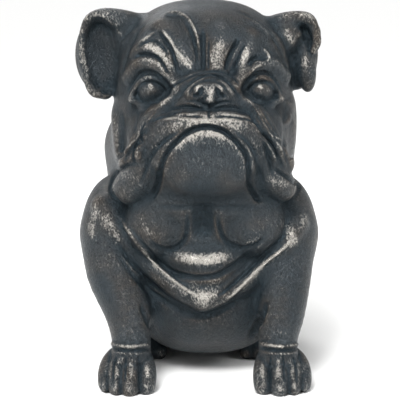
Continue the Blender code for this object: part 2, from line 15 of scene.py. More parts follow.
import bmesh
import bpy
import numpy as np
from mathutils import Euler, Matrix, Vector


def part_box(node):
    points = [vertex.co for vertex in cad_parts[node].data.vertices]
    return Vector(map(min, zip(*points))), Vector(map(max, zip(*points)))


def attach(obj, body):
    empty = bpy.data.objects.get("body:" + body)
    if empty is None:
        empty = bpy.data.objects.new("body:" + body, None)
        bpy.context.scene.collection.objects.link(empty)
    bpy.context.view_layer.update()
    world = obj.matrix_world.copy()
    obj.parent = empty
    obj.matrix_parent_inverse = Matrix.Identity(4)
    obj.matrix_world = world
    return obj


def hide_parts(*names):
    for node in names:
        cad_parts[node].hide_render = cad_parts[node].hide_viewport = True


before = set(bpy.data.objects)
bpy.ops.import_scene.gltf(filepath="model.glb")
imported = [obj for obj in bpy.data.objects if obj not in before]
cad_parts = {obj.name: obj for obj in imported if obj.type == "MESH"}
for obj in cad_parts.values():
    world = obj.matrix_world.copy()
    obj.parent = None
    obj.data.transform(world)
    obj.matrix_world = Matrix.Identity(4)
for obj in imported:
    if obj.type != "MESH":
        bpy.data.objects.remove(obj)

LOG = logging.getLogger("bulldog")

# Sizes are in millimetres where the statue is 300 mm tall, and the row frame is in metres.
MM = 0.001

Triple = tuple[float, float, float]
Spot = tuple[float, float]
# Two ranges, the first carried to the second: from least, from most, to least, to most
Ramp = tuple[float, float, float, float]


class Side(Enum):
    """The viewer's left or right of the statue, as the sign of X."""

    LEFT = -1
    RIGHT = 1


SIDES = (Side.LEFT.value, Side.RIGHT.value)


class Cut(Enum):
    """How a carved line rises or falls across its width."""

    SOFT = "soft"
    CRISP = "crisp"


def soft_union(a: np.ndarray, b: np.ndarray, reach: float) -> np.ndarray:
    """Blends two distances where they meet.

    Args:
        a: The first distances.
        b: The second distances.
        reach: How far from the meeting line the blend goes, in mm.

    Returns:
        The lower of the two, rounded near the meeting line.
    """
    share = np.clip(0.5 + 0.5 * (b - a) / reach, 0.0, 1.0)
    return b * (1.0 - share) + a * share - reach * share * (1.0 - share)


def flowing(points: list, steps: int) -> np.ndarray:
    """Draws a smooth line through the points.

    Args:
        points: The points that the line passes through, of any number of values each.
        steps: The number of pieces between one point and the next.

    Returns:
        The points of the line.
    """
    ends = np.array(points, float)
    line = np.vstack([2 * ends[0] - ends[1], ends, 2 * ends[-1] - ends[-2]])
    found = []
    for index in range(1, len(line) - 2):
        a, b, c, d = line[index - 1 : index + 3]
        for step in range(steps):
            t = step / steps
            slope = (c - a) * t
            bend = (2 * a - 5 * b + 4 * c - d) * t * t
            twist = (3 * b - a - 3 * c + d) * t**3
            found.append(0.5 * (2 * b + slope + bend + twist))
    found.append(ends[-1])
    return np.array(found)


def spread(value: float | list, count: int) -> list:
    """Gives one value for each of count points."""
    return list(value) if isinstance(value, (tuple, list)) else [value] * count


@dataclass
class Egg:
    """A rounded mass: an ellipsoid, boxier as its power rises above two."""

    centre: Triple
    radii: Triple
    turn: Triple = (0, 0, 0)
    blend: float = 6.0
    power: float = 2.0
    hollow: bool = False
    middle: np.ndarray = field(init=False, repr=False)
    half: np.ndarray = field(init=False, repr=False)
    axes: np.ndarray = field(init=False, repr=False)
    low: np.ndarray = field(init=False, repr=False)
    high: np.ndarray = field(init=False, repr=False)

    def __post_init__(self) -> None:
        """Works out the mass's axes and its box.

        The box is the smallest one, square to the drawing, that holds the turned mass.
        """
        self.middle = np.array(self.centre, float)
        self.half = np.array(self.radii, float)
        angles = [math.radians(value) for value in self.turn]
        self.axes = np.array(Euler(angles, "XYZ").to_matrix())
        reach = np.abs(self.axes) @ self.half
        self.low = self.middle - reach
        self.high = self.middle + reach

    def distance(self, points: np.ndarray) -> np.ndarray:
        """Measures how far points are from the skin of the mass.

        Args:
            points: The points, one a row.

        Returns:
            The distances, below zero inside.
        """
        share = ((points - self.middle) @ self.axes) / self.half
        if self.power == 2.0:
            size = np.sqrt((share**2).sum(axis=1))
            slope = np.sqrt(((share / self.half) ** 2).sum(axis=1))
            return size * (size - 1.0) / np.maximum(slope, 1e-6)
        total = np.maximum((np.abs(share) ** self.power).sum(axis=1), 1e-12)
        size = total ** (1.0 / self.power)
        steep = np.abs(share) ** (self.power - 1.0) / self.half
        slope = np.sqrt((steep**2).sum(axis=1)) * total ** (1.0 / self.power - 1.0)
        return (size - 1.0) / np.maximum(slope, 1e-6)


@dataclass
class Rope:
    """A tapering tube along a smooth line."""

    points: list
    radii: float | list
    blend: float = 4.0
    hollow: bool = False
    line: np.ndarray = field(init=False, repr=False)
    thickness: np.ndarray = field(init=False, repr=False)
    low: np.ndarray = field(init=False, repr=False)
    high: np.ndarray = field(init=False, repr=False)

    def __post_init__(self) -> None:
        """Draws the tube's middle line and works out its box.

        The radius runs smoothly along the line, as the points do.
        """
        radii = spread(self.radii, len(self.points))
        line = flowing([(*point, radius) for point, radius in zip(self.points, radii)], 4)
        self.line = line[:, :3]
        self.thickness = line[:, 3]
        self.low = self.line.min(axis=0) - self.thickness.max()
        self.high = self.line.max(axis=0) + self.thickness.max()

    def distance(self, points: np.ndarray) -> np.ndarray:
        """Measures how far points are from the skin of the tube.

        Args:
            points: The points, one a row.

        Returns:
            The distances, below zero inside.
        """
        start = self.line[:-1]
        along = self.line[1:] - start
        square = np.maximum((along**2).sum(axis=1), 1e-9)
        found = []
        for some in np.array_split(points, len(points) // 4000 + 1):
            offset = some[:, None, :] - start
            t = np.clip(np.einsum("psk,sk->ps", offset, along) / square, 0.0, 1.0)
            gap = offset - t[:, :, None] * along
            reach = np.sqrt(np.einsum("psk,psk->ps", gap, gap))
            radius = self.thickness[:-1] * (1.0 - t) + self.thickness[1:] * t
            found.append((reach - radius).min(axis=1))
        return np.concatenate(found)


@dataclass
class Line:
    """A carved line on the front sheet: a ridge where its height is above zero, else a groove."""

    points: list
    height: float
    half_width: float
    ends: float = 0.25
    cut: Cut = Cut.SOFT
    # A line fades over skin between these two distances before or behind it
    near_depth: float = 12.0
    far_depth: float = 20.0
    path: np.ndarray = field(init=False, repr=False)
    depth: np.ndarray = field(init=False, repr=False)

    def __post_init__(self) -> None:
        """Draws the line smoothly through its points."""
        self.path = flowing(self.points, 6)
        self.depth = np.zeros(len(self.path))

    def lift(self, points: np.ndarray, sheet: np.ndarray) -> np.ndarray:
        """Works out how far the line raises or sinks each point of the skin.

        Args:
            points: The points of the skin.
            sheet: Where the sight line of each point passes through the front sheet.

        Returns:
            The rise of each point in mm, below zero for a groove.
        """
        found = np.zeros(len(points))
        margin = self.half_width * 1.5
        inside = (sheet > self.path.min(axis=0) - margin) & (sheet < self.path.max(axis=0) + margin)
        near = np.all(inside, axis=1)
        if not near.any():
            return found
        spot = sheet[near]
        gap = np.full(len(spot), 1e9)
        place = np.zeros(len(spot))
        last = len(self.path) - 1
        for index in range(last):
            start = self.path[index]
            along = self.path[index + 1] - start
            offset = spot - start
            t = np.clip(offset @ along / max(along @ along, 1e-9), 0.0, 1.0)
            reach = np.sqrt(((offset - t[:, None] * along) ** 2).sum(axis=1))
            closer = reach < gap
            gap[closer] = reach[closer]
            place[closer] = index + t[closer]
        across = np.clip(gap / self.half_width, 0.0, 1.0)
        if self.cut is Cut.CRISP:
            profile = (1.0 - across) ** 1.5
        else:
            profile = np.cos(across * math.pi / 2) ** 2
        share = place / last
        taper = np.clip(share / self.ends, 0, 1) * np.clip((1 - share) / self.ends, 0, 1)
        taper = taper * taper * (3 - 2 * taper)
        skin = np.interp(place, np.arange(last + 1), self.depth)
        away = np.abs(points[near, 1] - skin)
        fade = np.clip(1 - (away - self.near_depth) / (self.far_depth - self.near_depth), 0, 1)
        found[near] = self.height * profile * taper * fade
        return found


@dataclass
class Clay:
    """The blended masses and the carved lines of the statue, in mm.

    The front sheet stands at sheet_y. A spot on it is (across, up), and is carried to the skin
    along the sight line from the point sight.
    """

    sight: np.ndarray = field(default_factory=lambda: np.array([-2.6, -1150.0, 352.0]))
    sheet_y: float = -60.0
    masses: list = field(default_factory=list)
    lines: list = field(default_factory=list)
    wax_and_light_marks: list = field(default_factory=list)

    def egg(self, *sizes: object, **options: object) -> None:
        """Adds a rounded mass."""
        self.masses.append(Egg(*sizes, **options))

    def rope(self, *sizes: object, **options: object) -> None:
        """Adds a tapering tube."""
        self.masses.append(Rope(*sizes, **options))

    def groove(self, points: list, depth: float, half_width: float, **options: object) -> None:
        """Sinks a line into the skin."""
        self.lines.append(Line(points, -depth, half_width, **options))

    def ridge(self, points: list, height: float, half_width: float, **options: object) -> None:
        """Raises a line from the skin."""
        self.lines.append(Line(points, height, half_width, **options))

    def mark_wax_and_light(self, points: list, amount: float, half_width: float) -> None:
        """Marks where wax lies on the skin, and where a highlight or a shade is painted; a mark below
        zero takes wax away and darkens.
        """
        self.wax_and_light_marks.append(Line(points, amount, half_width, ends=0.3))

    def distance(self, points: np.ndarray, far: float = 60.0, band: float = 5.0) -> np.ndarray:
        """Measures how far points are from the skin. Each mass is asked only near its own box.

        Args:
            points: The points, one a row.
            far: The distance given to a point that is near no mass.
            band: How far out of its box a mass is asked, past its blend.

        Returns:
            The distances, below zero inside.
        """
        found = np.full(len(points), far)
        for mass in self.masses:
            margin = mass.blend + band
            inside = (points > mass.low - margin) & (points < mass.high + margin)
            near = np.flatnonzero(np.all(inside, axis=1))
            if not len(near):
                continue
            own = mass.distance(points[near])
            if mass.hollow:
                found[near] = -soft_union(-found[near], own, mass.blend)
            else:
                found[near] = soft_union(found[near], own, mass.blend)
        return found

    def slope(self, points: np.ndarray, step: float = 0.25) -> np.ndarray:
        """Works out which way is out of the clay.

        Args:
            points: The points, one a row.
            step: How far round each point the distance is sampled, in mm.

        Returns:
            The gradient of the distance at each point.
        """
        total = np.zeros_like(points)
        for corner in ((1, -1, -1), (-1, -1, 1), (-1, 1, -1), (1, 1, 1)):
            way = np.array(corner, float)
            total += way * self.distance(points + way * step)[:, None]
        return total / (4.0 * step)

    def settle(self, points: np.ndarray) -> tuple[np.ndarray, np.ndarray]:
        """Moves points that lie close to the skin onto it.

        Args:
            points: The points, one a row.

        Returns:
            The moved points, and the direction out of the skin at each.
        """
        gap = np.clip(self.distance(points), -3.0, 3.0)
        way = self.slope(points)
        steep = np.maximum((way**2).sum(axis=1), 0.2)
        points = points - way * (gap / steep)[:, None]
        return points, way / np.sqrt(steep)[:, None]

    def skin_depth(self, sheet: list | np.ndarray) -> np.ndarray:
        """Finds where the sight line through each spot of the front sheet first meets the skin.

        Args:
            sheet: The spots, as (across, up).

        Returns:
            The depth of the skin, Y, behind each spot.
        """
        spots = np.atleast_2d(np.array(sheet, float))
        target = np.stack([spots[:, 0], np.full(len(spots), self.sheet_y), spots[:, 1]], axis=1)
        way = target - self.sight
        length = np.linalg.norm(way, axis=1)
        way /= length[:, None]
        # The walk starts 70 mm in front of the sheet, where nothing stands yet
        travel = length - 70.0
        for _ in range(26):
            gap = self.distance(self.sight + way * travel[:, None], far=400.0, band=400.0)
            travel += np.where(gap > 0.1, gap * 0.9, 0.0)
            travel = np.minimum(travel, 1500.0)
        return (self.sight + way * travel[:, None])[:, 1]

    def placed(self, spot: Spot, depth: float) -> np.ndarray:
        """Finds the point at a depth on the sight line through a spot of the front sheet.

        Args:
            spot: The spot, as (across, up).
            depth: The depth, Y.

        Returns:
            The point.
        """
        way = np.array([spot[0], self.sheet_y, spot[1]]) - self.sight
        return self.sight + way * (depth - self.sight[1]) / way[1]

    def laid_rope(
        self, spots: list, radii: float | list, proud: float | list, **options: object
    ) -> None:
        """Lays a rope on the skin.

        Args:
            spots: Where the rope runs on the front sheet.
            radii: Its radius, or one for each spot.
            proud: How far its crest stands out of the skin, or one value for each spot.
            **options: The rope's own options.
        """
        depths = self.skin_depth(spots)
        radii = spread(radii, len(spots))
        rises = spread(proud, len(spots))
        points = [
            self.placed(spot, depth + radius - rise)
            for spot, depth, radius, rise in zip(spots, depths, radii, rises)
        ]
        self.masses.append(Rope(points, radii, **options))

    def laid_egg(
        self, spot: Spot, radii: Triple, proud: float, turn: Triple = (0, 0, 0), **options: object
    ) -> None:
        """Lays a rounded mass on the skin.

        Args:
            spot: Its middle on the front sheet.
            radii: Its three radii.
            proud: How far it stands out of the skin.
            turn: Its turn about X, Y and Z in degrees.
            **options: The mass's own options.
        """
        depth = self.skin_depth([spot])[0]
        self.masses.append(Egg(self.placed(spot, depth + radii[1] - proud), radii, turn, **options))

    def press_lines(self) -> None:
        """Finds the depth of the skin under every line.

        A line then works only near that depth, and not on what lies in front of it or behind it.
        """
        lines = self.lines + self.wax_and_light_marks
        depths = self.skin_depth(np.vstack([line.path for line in lines]))
        start = 0
        for line in lines:
            line.depth = depths[start : start + len(line.path)]
            start += len(line.path)

    def total(self, lines: list, points: np.ndarray) -> np.ndarray:
        """Adds up what some lines do at points of the skin.

        Args:
            lines: The lines.
            points: The points, one a row.

        Returns:
            The sum of the lines' heights at each point.
        """
        reach = (self.sheet_y - self.sight[1]) / (points[:, 1] - self.sight[1])
        across = self.sight[0] + (points[:, 0] - self.sight[0]) * reach
        up = self.sight[2] + (points[:, 2] - self.sight[2]) * reach
        sheet = np.stack([across, up], axis=1)
        found = np.zeros(len(points))
        for line in lines:
            found += line.lift(points, sheet)
        return found

    def carve(self, points: np.ndarray, way: np.ndarray) -> np.ndarray:
        """Moves points on the skin out or in by the carved lines.

        Args:
            points: The points, one a row.
            way: The direction out of the skin at each point.

        Returns:
            The moved points.
        """
        return points + way * self.total(self.lines, points)[:, None]


class Part:
    """A part of the statue, which gives the clay its masses and its lines."""

    def model(self, clay: Clay) -> None:
        """Adds the part's masses to the clay."""
        raise NotImplementedError

    def carve(self, clay: Clay) -> None:
        """Carves the part's lines. A part that has none leaves the clay as it is."""


@dataclass
class Body(Part):
    """Ribs, rump, belly, neck, stub tail and haunches with flat hind feet."""

    rib_width: float = 160.0
    belly_width: float = 132.0
    rump_width: float = 144.0
    neck_width: float = 160.0
    haunch_spacing: float = 112.0
    hind_toe_step: float = 9.5

    def model(self, clay: Clay) -> None:
        """Adds the masses of the body.

        Args:
            clay: The clay that takes them.
        """
        clay.egg((-3, 30, 118), (self.rib_width / 2, 76, 84), (-20, 0, 0), blend=10)
        clay.egg((0, 66, 58), (self.rump_width / 2, 66, 62), blend=14)
        clay.egg((3, 12, 74), (self.belly_width / 2, 70, 64), blend=12, power=2.5)
        clay.egg((-1, -20, 128), (66, 50, 50), blend=10)
        clay.egg((0, -34, 92), (34, 38, 26), blend=10)
        clay.egg((-3, 36, 176), (self.neck_width / 2, 60, 58), (-14, 0, 0), blend=16)
        clay.rope([(0, 124, 44), (4, 136, 38), (3, 139, 30)], [13, 9, 7], blend=7)
        self.model_haunches(clay)

    def model_haunches(self, clay: Clay) -> None:
        """Adds the haunches and the three toes of each hind foot.

        Args:
            clay: The clay that takes them.
        """
        for side in SIDES:
            middle = side * self.haunch_spacing / 2
            clay.egg((middle, 58, 50), (28, 50, 50), (8, 0, -side * 5), blend=6)
            foot = [(side * 56, 42, 12), (side * 50, 26, 10), (side * 46, 16, 8)]
            clay.rope(foot, [17, 15, 12], blend=5)
            for toe in range(3):
                across = side * (58 - self.hind_toe_step * toe)
                front = 8 + 2 * abs(toe - 1)
                clay.rope([(across, 22, 8), (across - side * 2, front, 6)], [7, 6.5], blend=2)


@dataclass
class Head(Part):
    """Skull, cheeks, snout, chin and jaw."""

    width: float = 142.0
    depth: float = 124.0
    tall: float = 150.0
    middle: float = 226.0
    cheek_width: float = 145.0
    snout_width: float = 124.0
    chin_width: float = 84.0
    chin_tall: float = 68.0

    def model(self, clay: Clay) -> None:
        """Adds the masses of the head.

        Args:
            clay: The clay that takes them.
        """
        skull = (self.width / 2, self.depth / 2, self.tall / 2)
        clay.egg((0.3, 4, self.middle), skull, blend=10, power=2.5)
        clay.egg((-0.5, -4, 192), (self.cheek_width / 2, 52, 48), blend=12, power=2.7)
        clay.egg((3.5, -50, 222), (36, 34, 24), blend=10)
        clay.egg((3, -42, 195), (self.snout_width / 2, 42, 36), blend=8, power=2.6)
        clay.egg((3, -56, 183), (self.chin_width / 2, 42, self.chin_tall / 2), blend=6, power=2.4)
        clay.egg((2, -40, 168), (52, 40, 20), blend=6, power=2.5)
        clay.egg((1, -50, 146), (50, 27, 20), blend=12)

    def carve(self, clay: Clay) -> None:
        """Carves the folds that run down the cheeks and the temples.

        Args:
            clay: The clay that takes them.
        """
        clay.ridge([(26.5, 296), (44.5, 282.5), (57, 273), (63, 258), (68, 242.5)], 1.6, 3.2)
        clay.groove([(60.5, 267), (65.5, 253.5), (70.5, 235)], 1.2, 2.0)
        clay.ridge([(-48.5, 283), (-56.5, 276), (-63.5, 268.5)], 1.0, 2.6)
        clay.ridge([(-68.5, 227.5), (-68, 208), (-66.5, 190), (-64, 174.5)], 2.2, 3.6)
        clay.groove([(-63.5, 224), (-62.5, 205.5), (-63, 188.5), (-59, 174.5)], 1.6, 3.0)
        clay.ridge([(-55, 218), (-57.5, 205.5), (-58, 192.5)], 1.0, 3.0)
        clay.groove([(-48.5, 221), (-52, 210.5), (-53.5, 198)], 1.0, 2.4)
        clay.ridge([(63.5, 229), (66, 218), (63.5, 205.5)], 1.8, 3.0)
        clay.ridge([(66.5, 239.5), (69, 218), (69, 192.5), (68, 168)], 2.2, 3.4)
        clay.groove([(61, 224), (63, 205.5), (62.5, 188.5), (65.5, 174.5)], 1.6, 2.8)
        clay.groove([(45, 222.5), (51.5, 210.5), (57, 196.5)], 1.2, 2.4)


@dataclass
class Forelegs(Part):
    """Shoulders, forelegs and four-toed paws with nails."""

    shoulder_axis: float = -3.5
    shoulder_spacing: float = 141.0
    shoulder_level: float = 120.5
    paw_axis: float = 1.0
    paw_spacing: float = 118.0
    wrist_radius: float = 15.5
    toe_offsets: tuple = (-18.5, -9.8, 0.6, 13.0)
    toe_fronts: tuple = (-69.0, -75.0, -77.0, -73.0)
    toe_radii: tuple = (6.0, 7.0, 7.8, 7.6)

    def model(self, clay: Clay) -> None:
        """Adds the masses of both legs.

        Args:
            clay: The clay that takes them.
        """
        for side in SIDES:
            shoulder = self.shoulder_axis + side * self.shoulder_spacing / 2
            paw = self.paw_axis + side * self.paw_spacing / 2
            clay.egg((shoulder, -10, self.shoulder_level), (25, 40, 40.5), (0, -side * 7, 0), blend=10)
            leg = [
                (shoulder + side * -0.5, -24, 113.5),
                (shoulder + side * -2, -40, 88.5),
                (paw + side * 2.5, -54, 59),
                (paw - side * 1, -63, 39),
                (paw - side * 0.5, -66, 23.5),
            ]
            clay.rope(leg, [24, 21.8, 18.3, self.wrist_radius, self.wrist_radius], blend=9)
            clay.egg((paw, -66, 9), (18, 17, 11), blend=4, power=2.5)
            self.model_toes(clay, side, paw)

    def model_toes(self, clay: Clay, side: int, paw: float) -> None:
        """Adds the toes and nails of one paw.

        Args:
            clay: The clay that takes them.
            side: The sign of X of the paw's side.
            paw: The middle of the paw.
        """
        for offset, front, radius in zip(self.toe_offsets, self.toe_fronts, self.toe_radii):
            tip = paw - side * offset
            root = (tip + paw) / 2
            toe = [
                (root, -56, 24),
                (root * 0.3 + tip * 0.7, front + 6, 19.5),
                (tip, front - 2, 13.5),
                (tip, front - 8.5, 6.8),
                (tip, front - 10.8, 4.4),
            ]
            swell = [radius + 1.5, radius + 0.8, radius + 0.5, radius + 0.2, radius - 1.6]
            clay.rope(toe, swell, blend=1.0)
            nail = [(tip, front - 12.5, 10), (tip, front - 14.8, 7), (tip, front - 15.2, 4)]
            clay.rope(nail, [2.3, 2.6, 2.2], blend=0.8)

    def carve(self, clay: Clay) -> None:
        """Carves the rings of the wrists and the creases behind the legs.

        Args:
            clay: The clay that takes them.
        """
        clay.groove([(49.5, 69), (44, 51), (34.5, 34.5)], 3.5, 4.0)
        clay.groove([(-50, 69), (-43.5, 51), (-34.5, 34.5)], 2.0, 4.0)
        for side in SIDES:
            paw = self.paw_axis + side * self.paw_spacing / 2
            ring = [(paw - 16, 34), (paw - 6, 31.7), (paw + 6, 31.4), (paw + 16, 33.2)]
            clay.ridge(ring, 1.8, 2.8, ends=0.1)
            crease = [(paw - 16, 29.6), (paw - 6, 28), (paw + 6, 27.6), (paw + 16, 29)]
            clay.groove(crease, 1.4, 1.6, ends=0.1)
            welt = [(paw - 14, 26.4), (paw - 5, 25.2), (paw + 5, 25), (paw + 14, 26)]
            clay.ridge(welt, 1.0, 1.4, ends=0.15)
            for start, end in ((-13.5, -14.2), (-4, -4.8), (7.5, 7)):
                gap = [(paw - side * start * 0.8, 24), (paw - side * start, 14), (paw - side * end, 0)]
                clay.groove(gap, 1.8, 1.6, ends=0.2, cut=Cut.CRISP)
            for offset in self.toe_offsets:
                tip = paw - side * offset
                clay.mark_wax_and_light([(paw * 0.2 + tip * 0.8, 23), (tip, 13), (tip, 3)], 0.8, 3.2)


@dataclass
class Ears(Part):
    """A cupped ear on the left, a folded ear on the right."""

    tall: float = 66.0
    thick: float = 20.0

    def model(self, clay: Clay) -> None:
        """Adds the masses of both ears.

        Args:
            clay: The clay that takes them.
        """
        half = self.tall / 2
        for side in SIDES:
            clay.rope([(side * 43, 2, 273.5), (side * 59.5, 2, 273.5)], [13, 9], blend=5)
        clay.egg((-79.5, 4, 257.5), (24, self.thick / 2, half), (0, 3, 0), blend=5)
        rim = [
            (-52, -3, 281),
            (-67, -8, 285.5),
            (-81, -8, 288),
            (-91.5, -6, 283),
            (-96, -4, 265),
            (-94, -4, 245),
            (-89, -6, 229),
            (-79.5, -6, 226.5),
        ]
        clay.rope(rim, [9, 8.5, 6.5, 5, 3.8, 3.6, 4.2, 5.0], blend=7)
        clay.egg((-60, -4, 270), (12, 10, 15), blend=9)
        clay.egg((-83.5, -15, 258), (14, 15, 29.5), (0, -4, 0), blend=7, hollow=True)
        clay.rope([(-79, -10, 246), (-76, -9, 236), (-78, -8, 230)], [7, 6, 4], blend=3, hollow=True)
        clay.egg((72.5, 4, 259), (20, self.thick / 2, half - 2), (0, -5, 0), blend=4)
        edge = [(50.5, -2, 281), (63, -6, 285), (75.5, -7, 287), (84.5, -6, 285), (89.5, -5, 275.5)]
        clay.rope(edge, [6, 6, 5.5, 5, 4], blend=4)
        clay.egg((66, -8, 272), (13, 9, 12), (0, 20, 0), blend=6)
        clay.egg((82, -3, 247), (8.5, 9, 20), (0, -8, 0), blend=4)
        clay.rope([(89.5, -7, 277), (90.5, -8, 268), (88, -8, 261)], [3.5, 3.6, 3], blend=2)
        fold = [(86.5, -13, 280), (80, -14, 268), (74.5, -13, 254), (71.5, -11, 238)]
        clay.rope(fold, [2.5, 4.5, 4.5, 3], blend=3, hollow=True)


@dataclass
class Muzzle(Part):
    """Hanging lips, the nose with its hood and nostrils, and the folds beside it."""

    axis: float = 2.0
    nose_level: float = 234.0
    nose_width: float = 24.0

    def model(self, clay: Clay) -> None:
        """Adds the masses of the lips, the nose and the folds.

        Args:
            clay: The clay that takes them.
        """
        self.model_flews(clay)
        self.model_nose(clay)
        self.model_folds(clay)

    def model_flews(self, clay: Clay) -> None:
        """Adds the hanging lips, the lobe beside each, and the rim of the chin.

        Args:
            clay: The clay that takes them.
        """
        offsets = (0, 17, 31, 39.5, 45, 51.5, 58)
        depths = (-90, -87, -80, -72, -66, -59, -53)
        levels = (214.5, 212.5, 205.5, 194, 182, 168, 158.5)
        middle = self.axis + 0.5
        for side, corner in zip(SIDES, (14.5, 12.0)):
            lip = [(middle + side * x, y, z) for x, y, z in zip(offsets, depths, levels)]
            clay.rope(lip, [6.5, 8.5, 11, 12.5, 13, 14, corner], blend=6)
            behind = ((34, -69, 207), (43, -62, 196), (50, -54, 184))
            cheek = [(middle + side * x, y, z) for x, y, z in behind]
            clay.rope(cheek, [12, 12.5, 12], blend=8)
            clay.laid_egg((middle + side * 50.5, 186.5), (6.5, 9, 9), 2.5, blend=2)
        rim = [(-29, 180.5), (-22.5, 191), (-12, 198), (3.5, 201), (17.5, 198), (27.5, 190), (32, 179)]
        clay.laid_rope(rim, 9, [2, 3, 4, 4, 4, 3, 2], blend=7)

    def model_nose(self, clay: Clay) -> None:
        """Adds the fold over the nose, its hood, the nose pad and the nostrils.

        Args:
            clay: The clay that takes them.
        """
        arch = [
            (-27, 226.5),
            (-17, 237.5),
            (-7, 243.5),
            (4.5, 245),
            (16, 243.5),
            (26, 235.5),
            (34.5, 225.5),
        ]
        clay.laid_rope(arch, 5, [3, 3.5, 4, 4, 4, 3.5, 3], blend=4)
        clay.laid_egg((4.5, 231), (21.5, 22, 13), 4.0, blend=3, power=2.5)
        pad = (self.nose_width / 2, 12, 7.0)
        clay.laid_egg((4.0, self.nose_level + 0.6), pad, 5.0, blend=0.6, power=2.6)
        clay.laid_egg((4.8, self.nose_level - 5.5), (5.6, 10, 6.5), 3.0, blend=1.0)
        for side in SIDES:
            comma = ((5.6, 1.6), (7.0, 0.4), (7.2, -1.6), (8.8, -3.2), (11.4, -3.4))
            hole = [(4.5 + side * x, self.nose_level + z) for x, z in comma]
            radii, proud = [1.6, 2.2, 2.4, 2.0, 1.4], [1.2, 1.8, 2.2, 1.6, 1.0]
            clay.laid_rope(hole, radii, proud, blend=0.8, hollow=True)

    def model_folds(self, clay: Clay) -> None:
        """Adds the folds that fall from the nose to the corners of the lips.

        Args:
            clay: The clay that takes them.
        """
        for side in SIDES:
            offsets = (32, 41.5, 48, 55, 62.5)
            levels = (225.5, 215, 203, 190, 177)
            fold = [(self.axis + side * x, z) for x, z in zip(offsets, levels)]
            clay.laid_rope(fold, [5, 6, 6, 6, 5], [2, 2.5, 2.2, 2, 2], blend=6)

    def carve(self, clay: Clay) -> None:
        """Carves the creases of the nose and lips, and the line of the mouth.

        Args:
            clay: The clay that takes them.
        """
        path = [
            (-19.5, 226.5), (-15, 235), (-7, 242.5), (1, 246), (8, 246.5), (16.5, 242.5),
            (23.5, 235), (29, 226.5),
        ]
        clay.groove(path, 1.8, 1.6)
        path = [
            (-38, 219.5), (-31, 231), (-21, 239.5), (-10.5, 245), (-1, 248.5), (8, 249.5),
            (19, 247.5), (27.5, 239), (33.5, 227.5),
        ]
        clay.groove(path, 1.6, 1.8)
        path = [
            (-8.5, 228), (-10.5, 233.5), (-7, 239), (-0.5, 242), (6.5, 242.5), (13.5, 239.5),
            (18, 234), (17.5, 229),
        ]
        clay.groove(path, 1.6, 1.4)
        path = [
            (-15, 225.5), (-5.5, 226.5), (-0.5, 224.5), (5, 223), (10.5, 224.5), (17.5, 226),
            (26, 224.5),
        ]
        clay.groove(path, 2.0, 1.3)
        clay.groove([(4.5, 224), (4, 219), (4.5, 211)], 2.0, 1.4)
        clay.groove([(3, 219), (-5, 221.5), (-12.5, 222.5), (-21, 221), (-31, 216.5)], 1.8, 1.3)
        clay.ridge([(0.5, 220.5), (-7, 224), (-15, 224.5)], 0.8, 1.2)
        clay.groove([(3, 213.5), (-9, 215), (-21, 216), (-32.5, 214), (-42, 209.5)], 2.0, 1.5)
        clay.ridge([(1, 217), (-10.5, 219), (-21, 218.5), (-29, 216.5)], 1.0, 1.6)
        clay.ridge([(0.5, 211), (-12, 212), (-24, 212.5), (-33.5, 210.5)], 1.0, 2.0)
        clay.groove([(6, 219), (14.5, 221.5), (25, 221.5), (34.5, 217)], 1.8, 1.3)
        clay.groove([(6, 213.5), (17.5, 215), (29.5, 213.5), (39, 210.5), (46.5, 204)], 2.0, 1.5)
        clay.ridge([(7.5, 217), (19, 218.5), (28, 217.5)], 1.0, 1.6)
        clay.ridge([(8, 211), (20.5, 211.5), (33, 209.5)], 1.0, 2.0)
        self.carve_lobes(clay)
        mouth = [
            (-41.5, 147.5), (-36, 160), (-33.5, 173), (-29.5, 184.5), (-22, 194), (-14, 201),
            (-6.5, 205), (3.5, 206.5), (13, 204), (20.5, 199.5), (28.5, 191.5), (34, 182),
            (35.5, 171), (36, 160), (41, 151.5), (45.5, 147),
        ]
        clay.groove(mouth, 3.6, 3.2, ends=0.06)
        path = [
            (-50, 158.5), (-45, 171), (-41.5, 182), (-35, 191), (-26, 198.5), (-15, 204),
        ]
        clay.groove(path, 1.4, 2.8)
        clay.groove([(22, 204), (33, 195.5), (40, 185.5), (43, 173), (47, 160)], 1.4, 2.8)
        clay.groove([(-41.5, 144.5), (-22, 143), (1.5, 143), (28.5, 143), (58, 144.5)], 1.0, 4.0)

    def carve_lobes(self, clay: Clay) -> None:
        """Carves the lobes at the edge of the lips and the thin folds that run down to them.

        Args:
            clay: The clay that takes them.
        """
        clay.groove([(-39.5, 212), (-45, 208), (-48, 202.5), (-48, 197), (-46, 193)], 2.0, 1.8)
        path = [
            (-46, 194.5), (-51.5, 192.5), (-54.5, 187.5), (-54.5, 182), (-51.5, 176.5),
        ]
        clay.groove(path, 2.6, 1.8)
        path = [
            (-49, 177.5), (-60, 176), (-68.5, 169), (-72.5, 158.5), (-69.5, 151.5), (-63.5, 147),
        ]
        clay.groove(path, 2.4, 2.2)
        clay.groove([(-42.5, 207), (-49.5, 198), (-56, 188.5), (-62, 179)], 2.0, 3.4)
        path = [
            (-35.5, 219.5), (-43.5, 209.5), (-50.5, 198.5), (-59, 188.5), (-65.5, 175),
        ]
        clay.ridge(path, 1.6, 1.6)
        clay.ridge([(-44.5, 201), (-47.5, 198)], 1.0, 4.0)
        clay.ridge([(-50.5, 188.5), (-50.5, 180.5)], 1.4, 4.0)
        path = [
            (33.5, 229), (40.5, 219.5), (47.5, 207), (53, 198), (61, 187), (65.5, 171),
        ]
        clay.ridge(path, 1.6, 1.6)
        path = [
            (30.5, 224), (38, 213.5), (46, 202.5), (52, 193), (58.5, 182), (62.5, 169.5),
        ]
        clay.groove(path, 2.0, 2.2)
        clay.ridge([(40.5, 223.5), (46.5, 213.5), (53.5, 204), (59, 193)], 1.0, 1.4)
        clay.groove([(43.5, 204), (48.5, 198), (54, 191), (57, 184), (57, 176.5)], 2.4, 1.6)
        clay.ridge([(44.5, 201), (50, 193), (54.5, 185.5), (54.5, 177.5)], 1.4, 2.6)
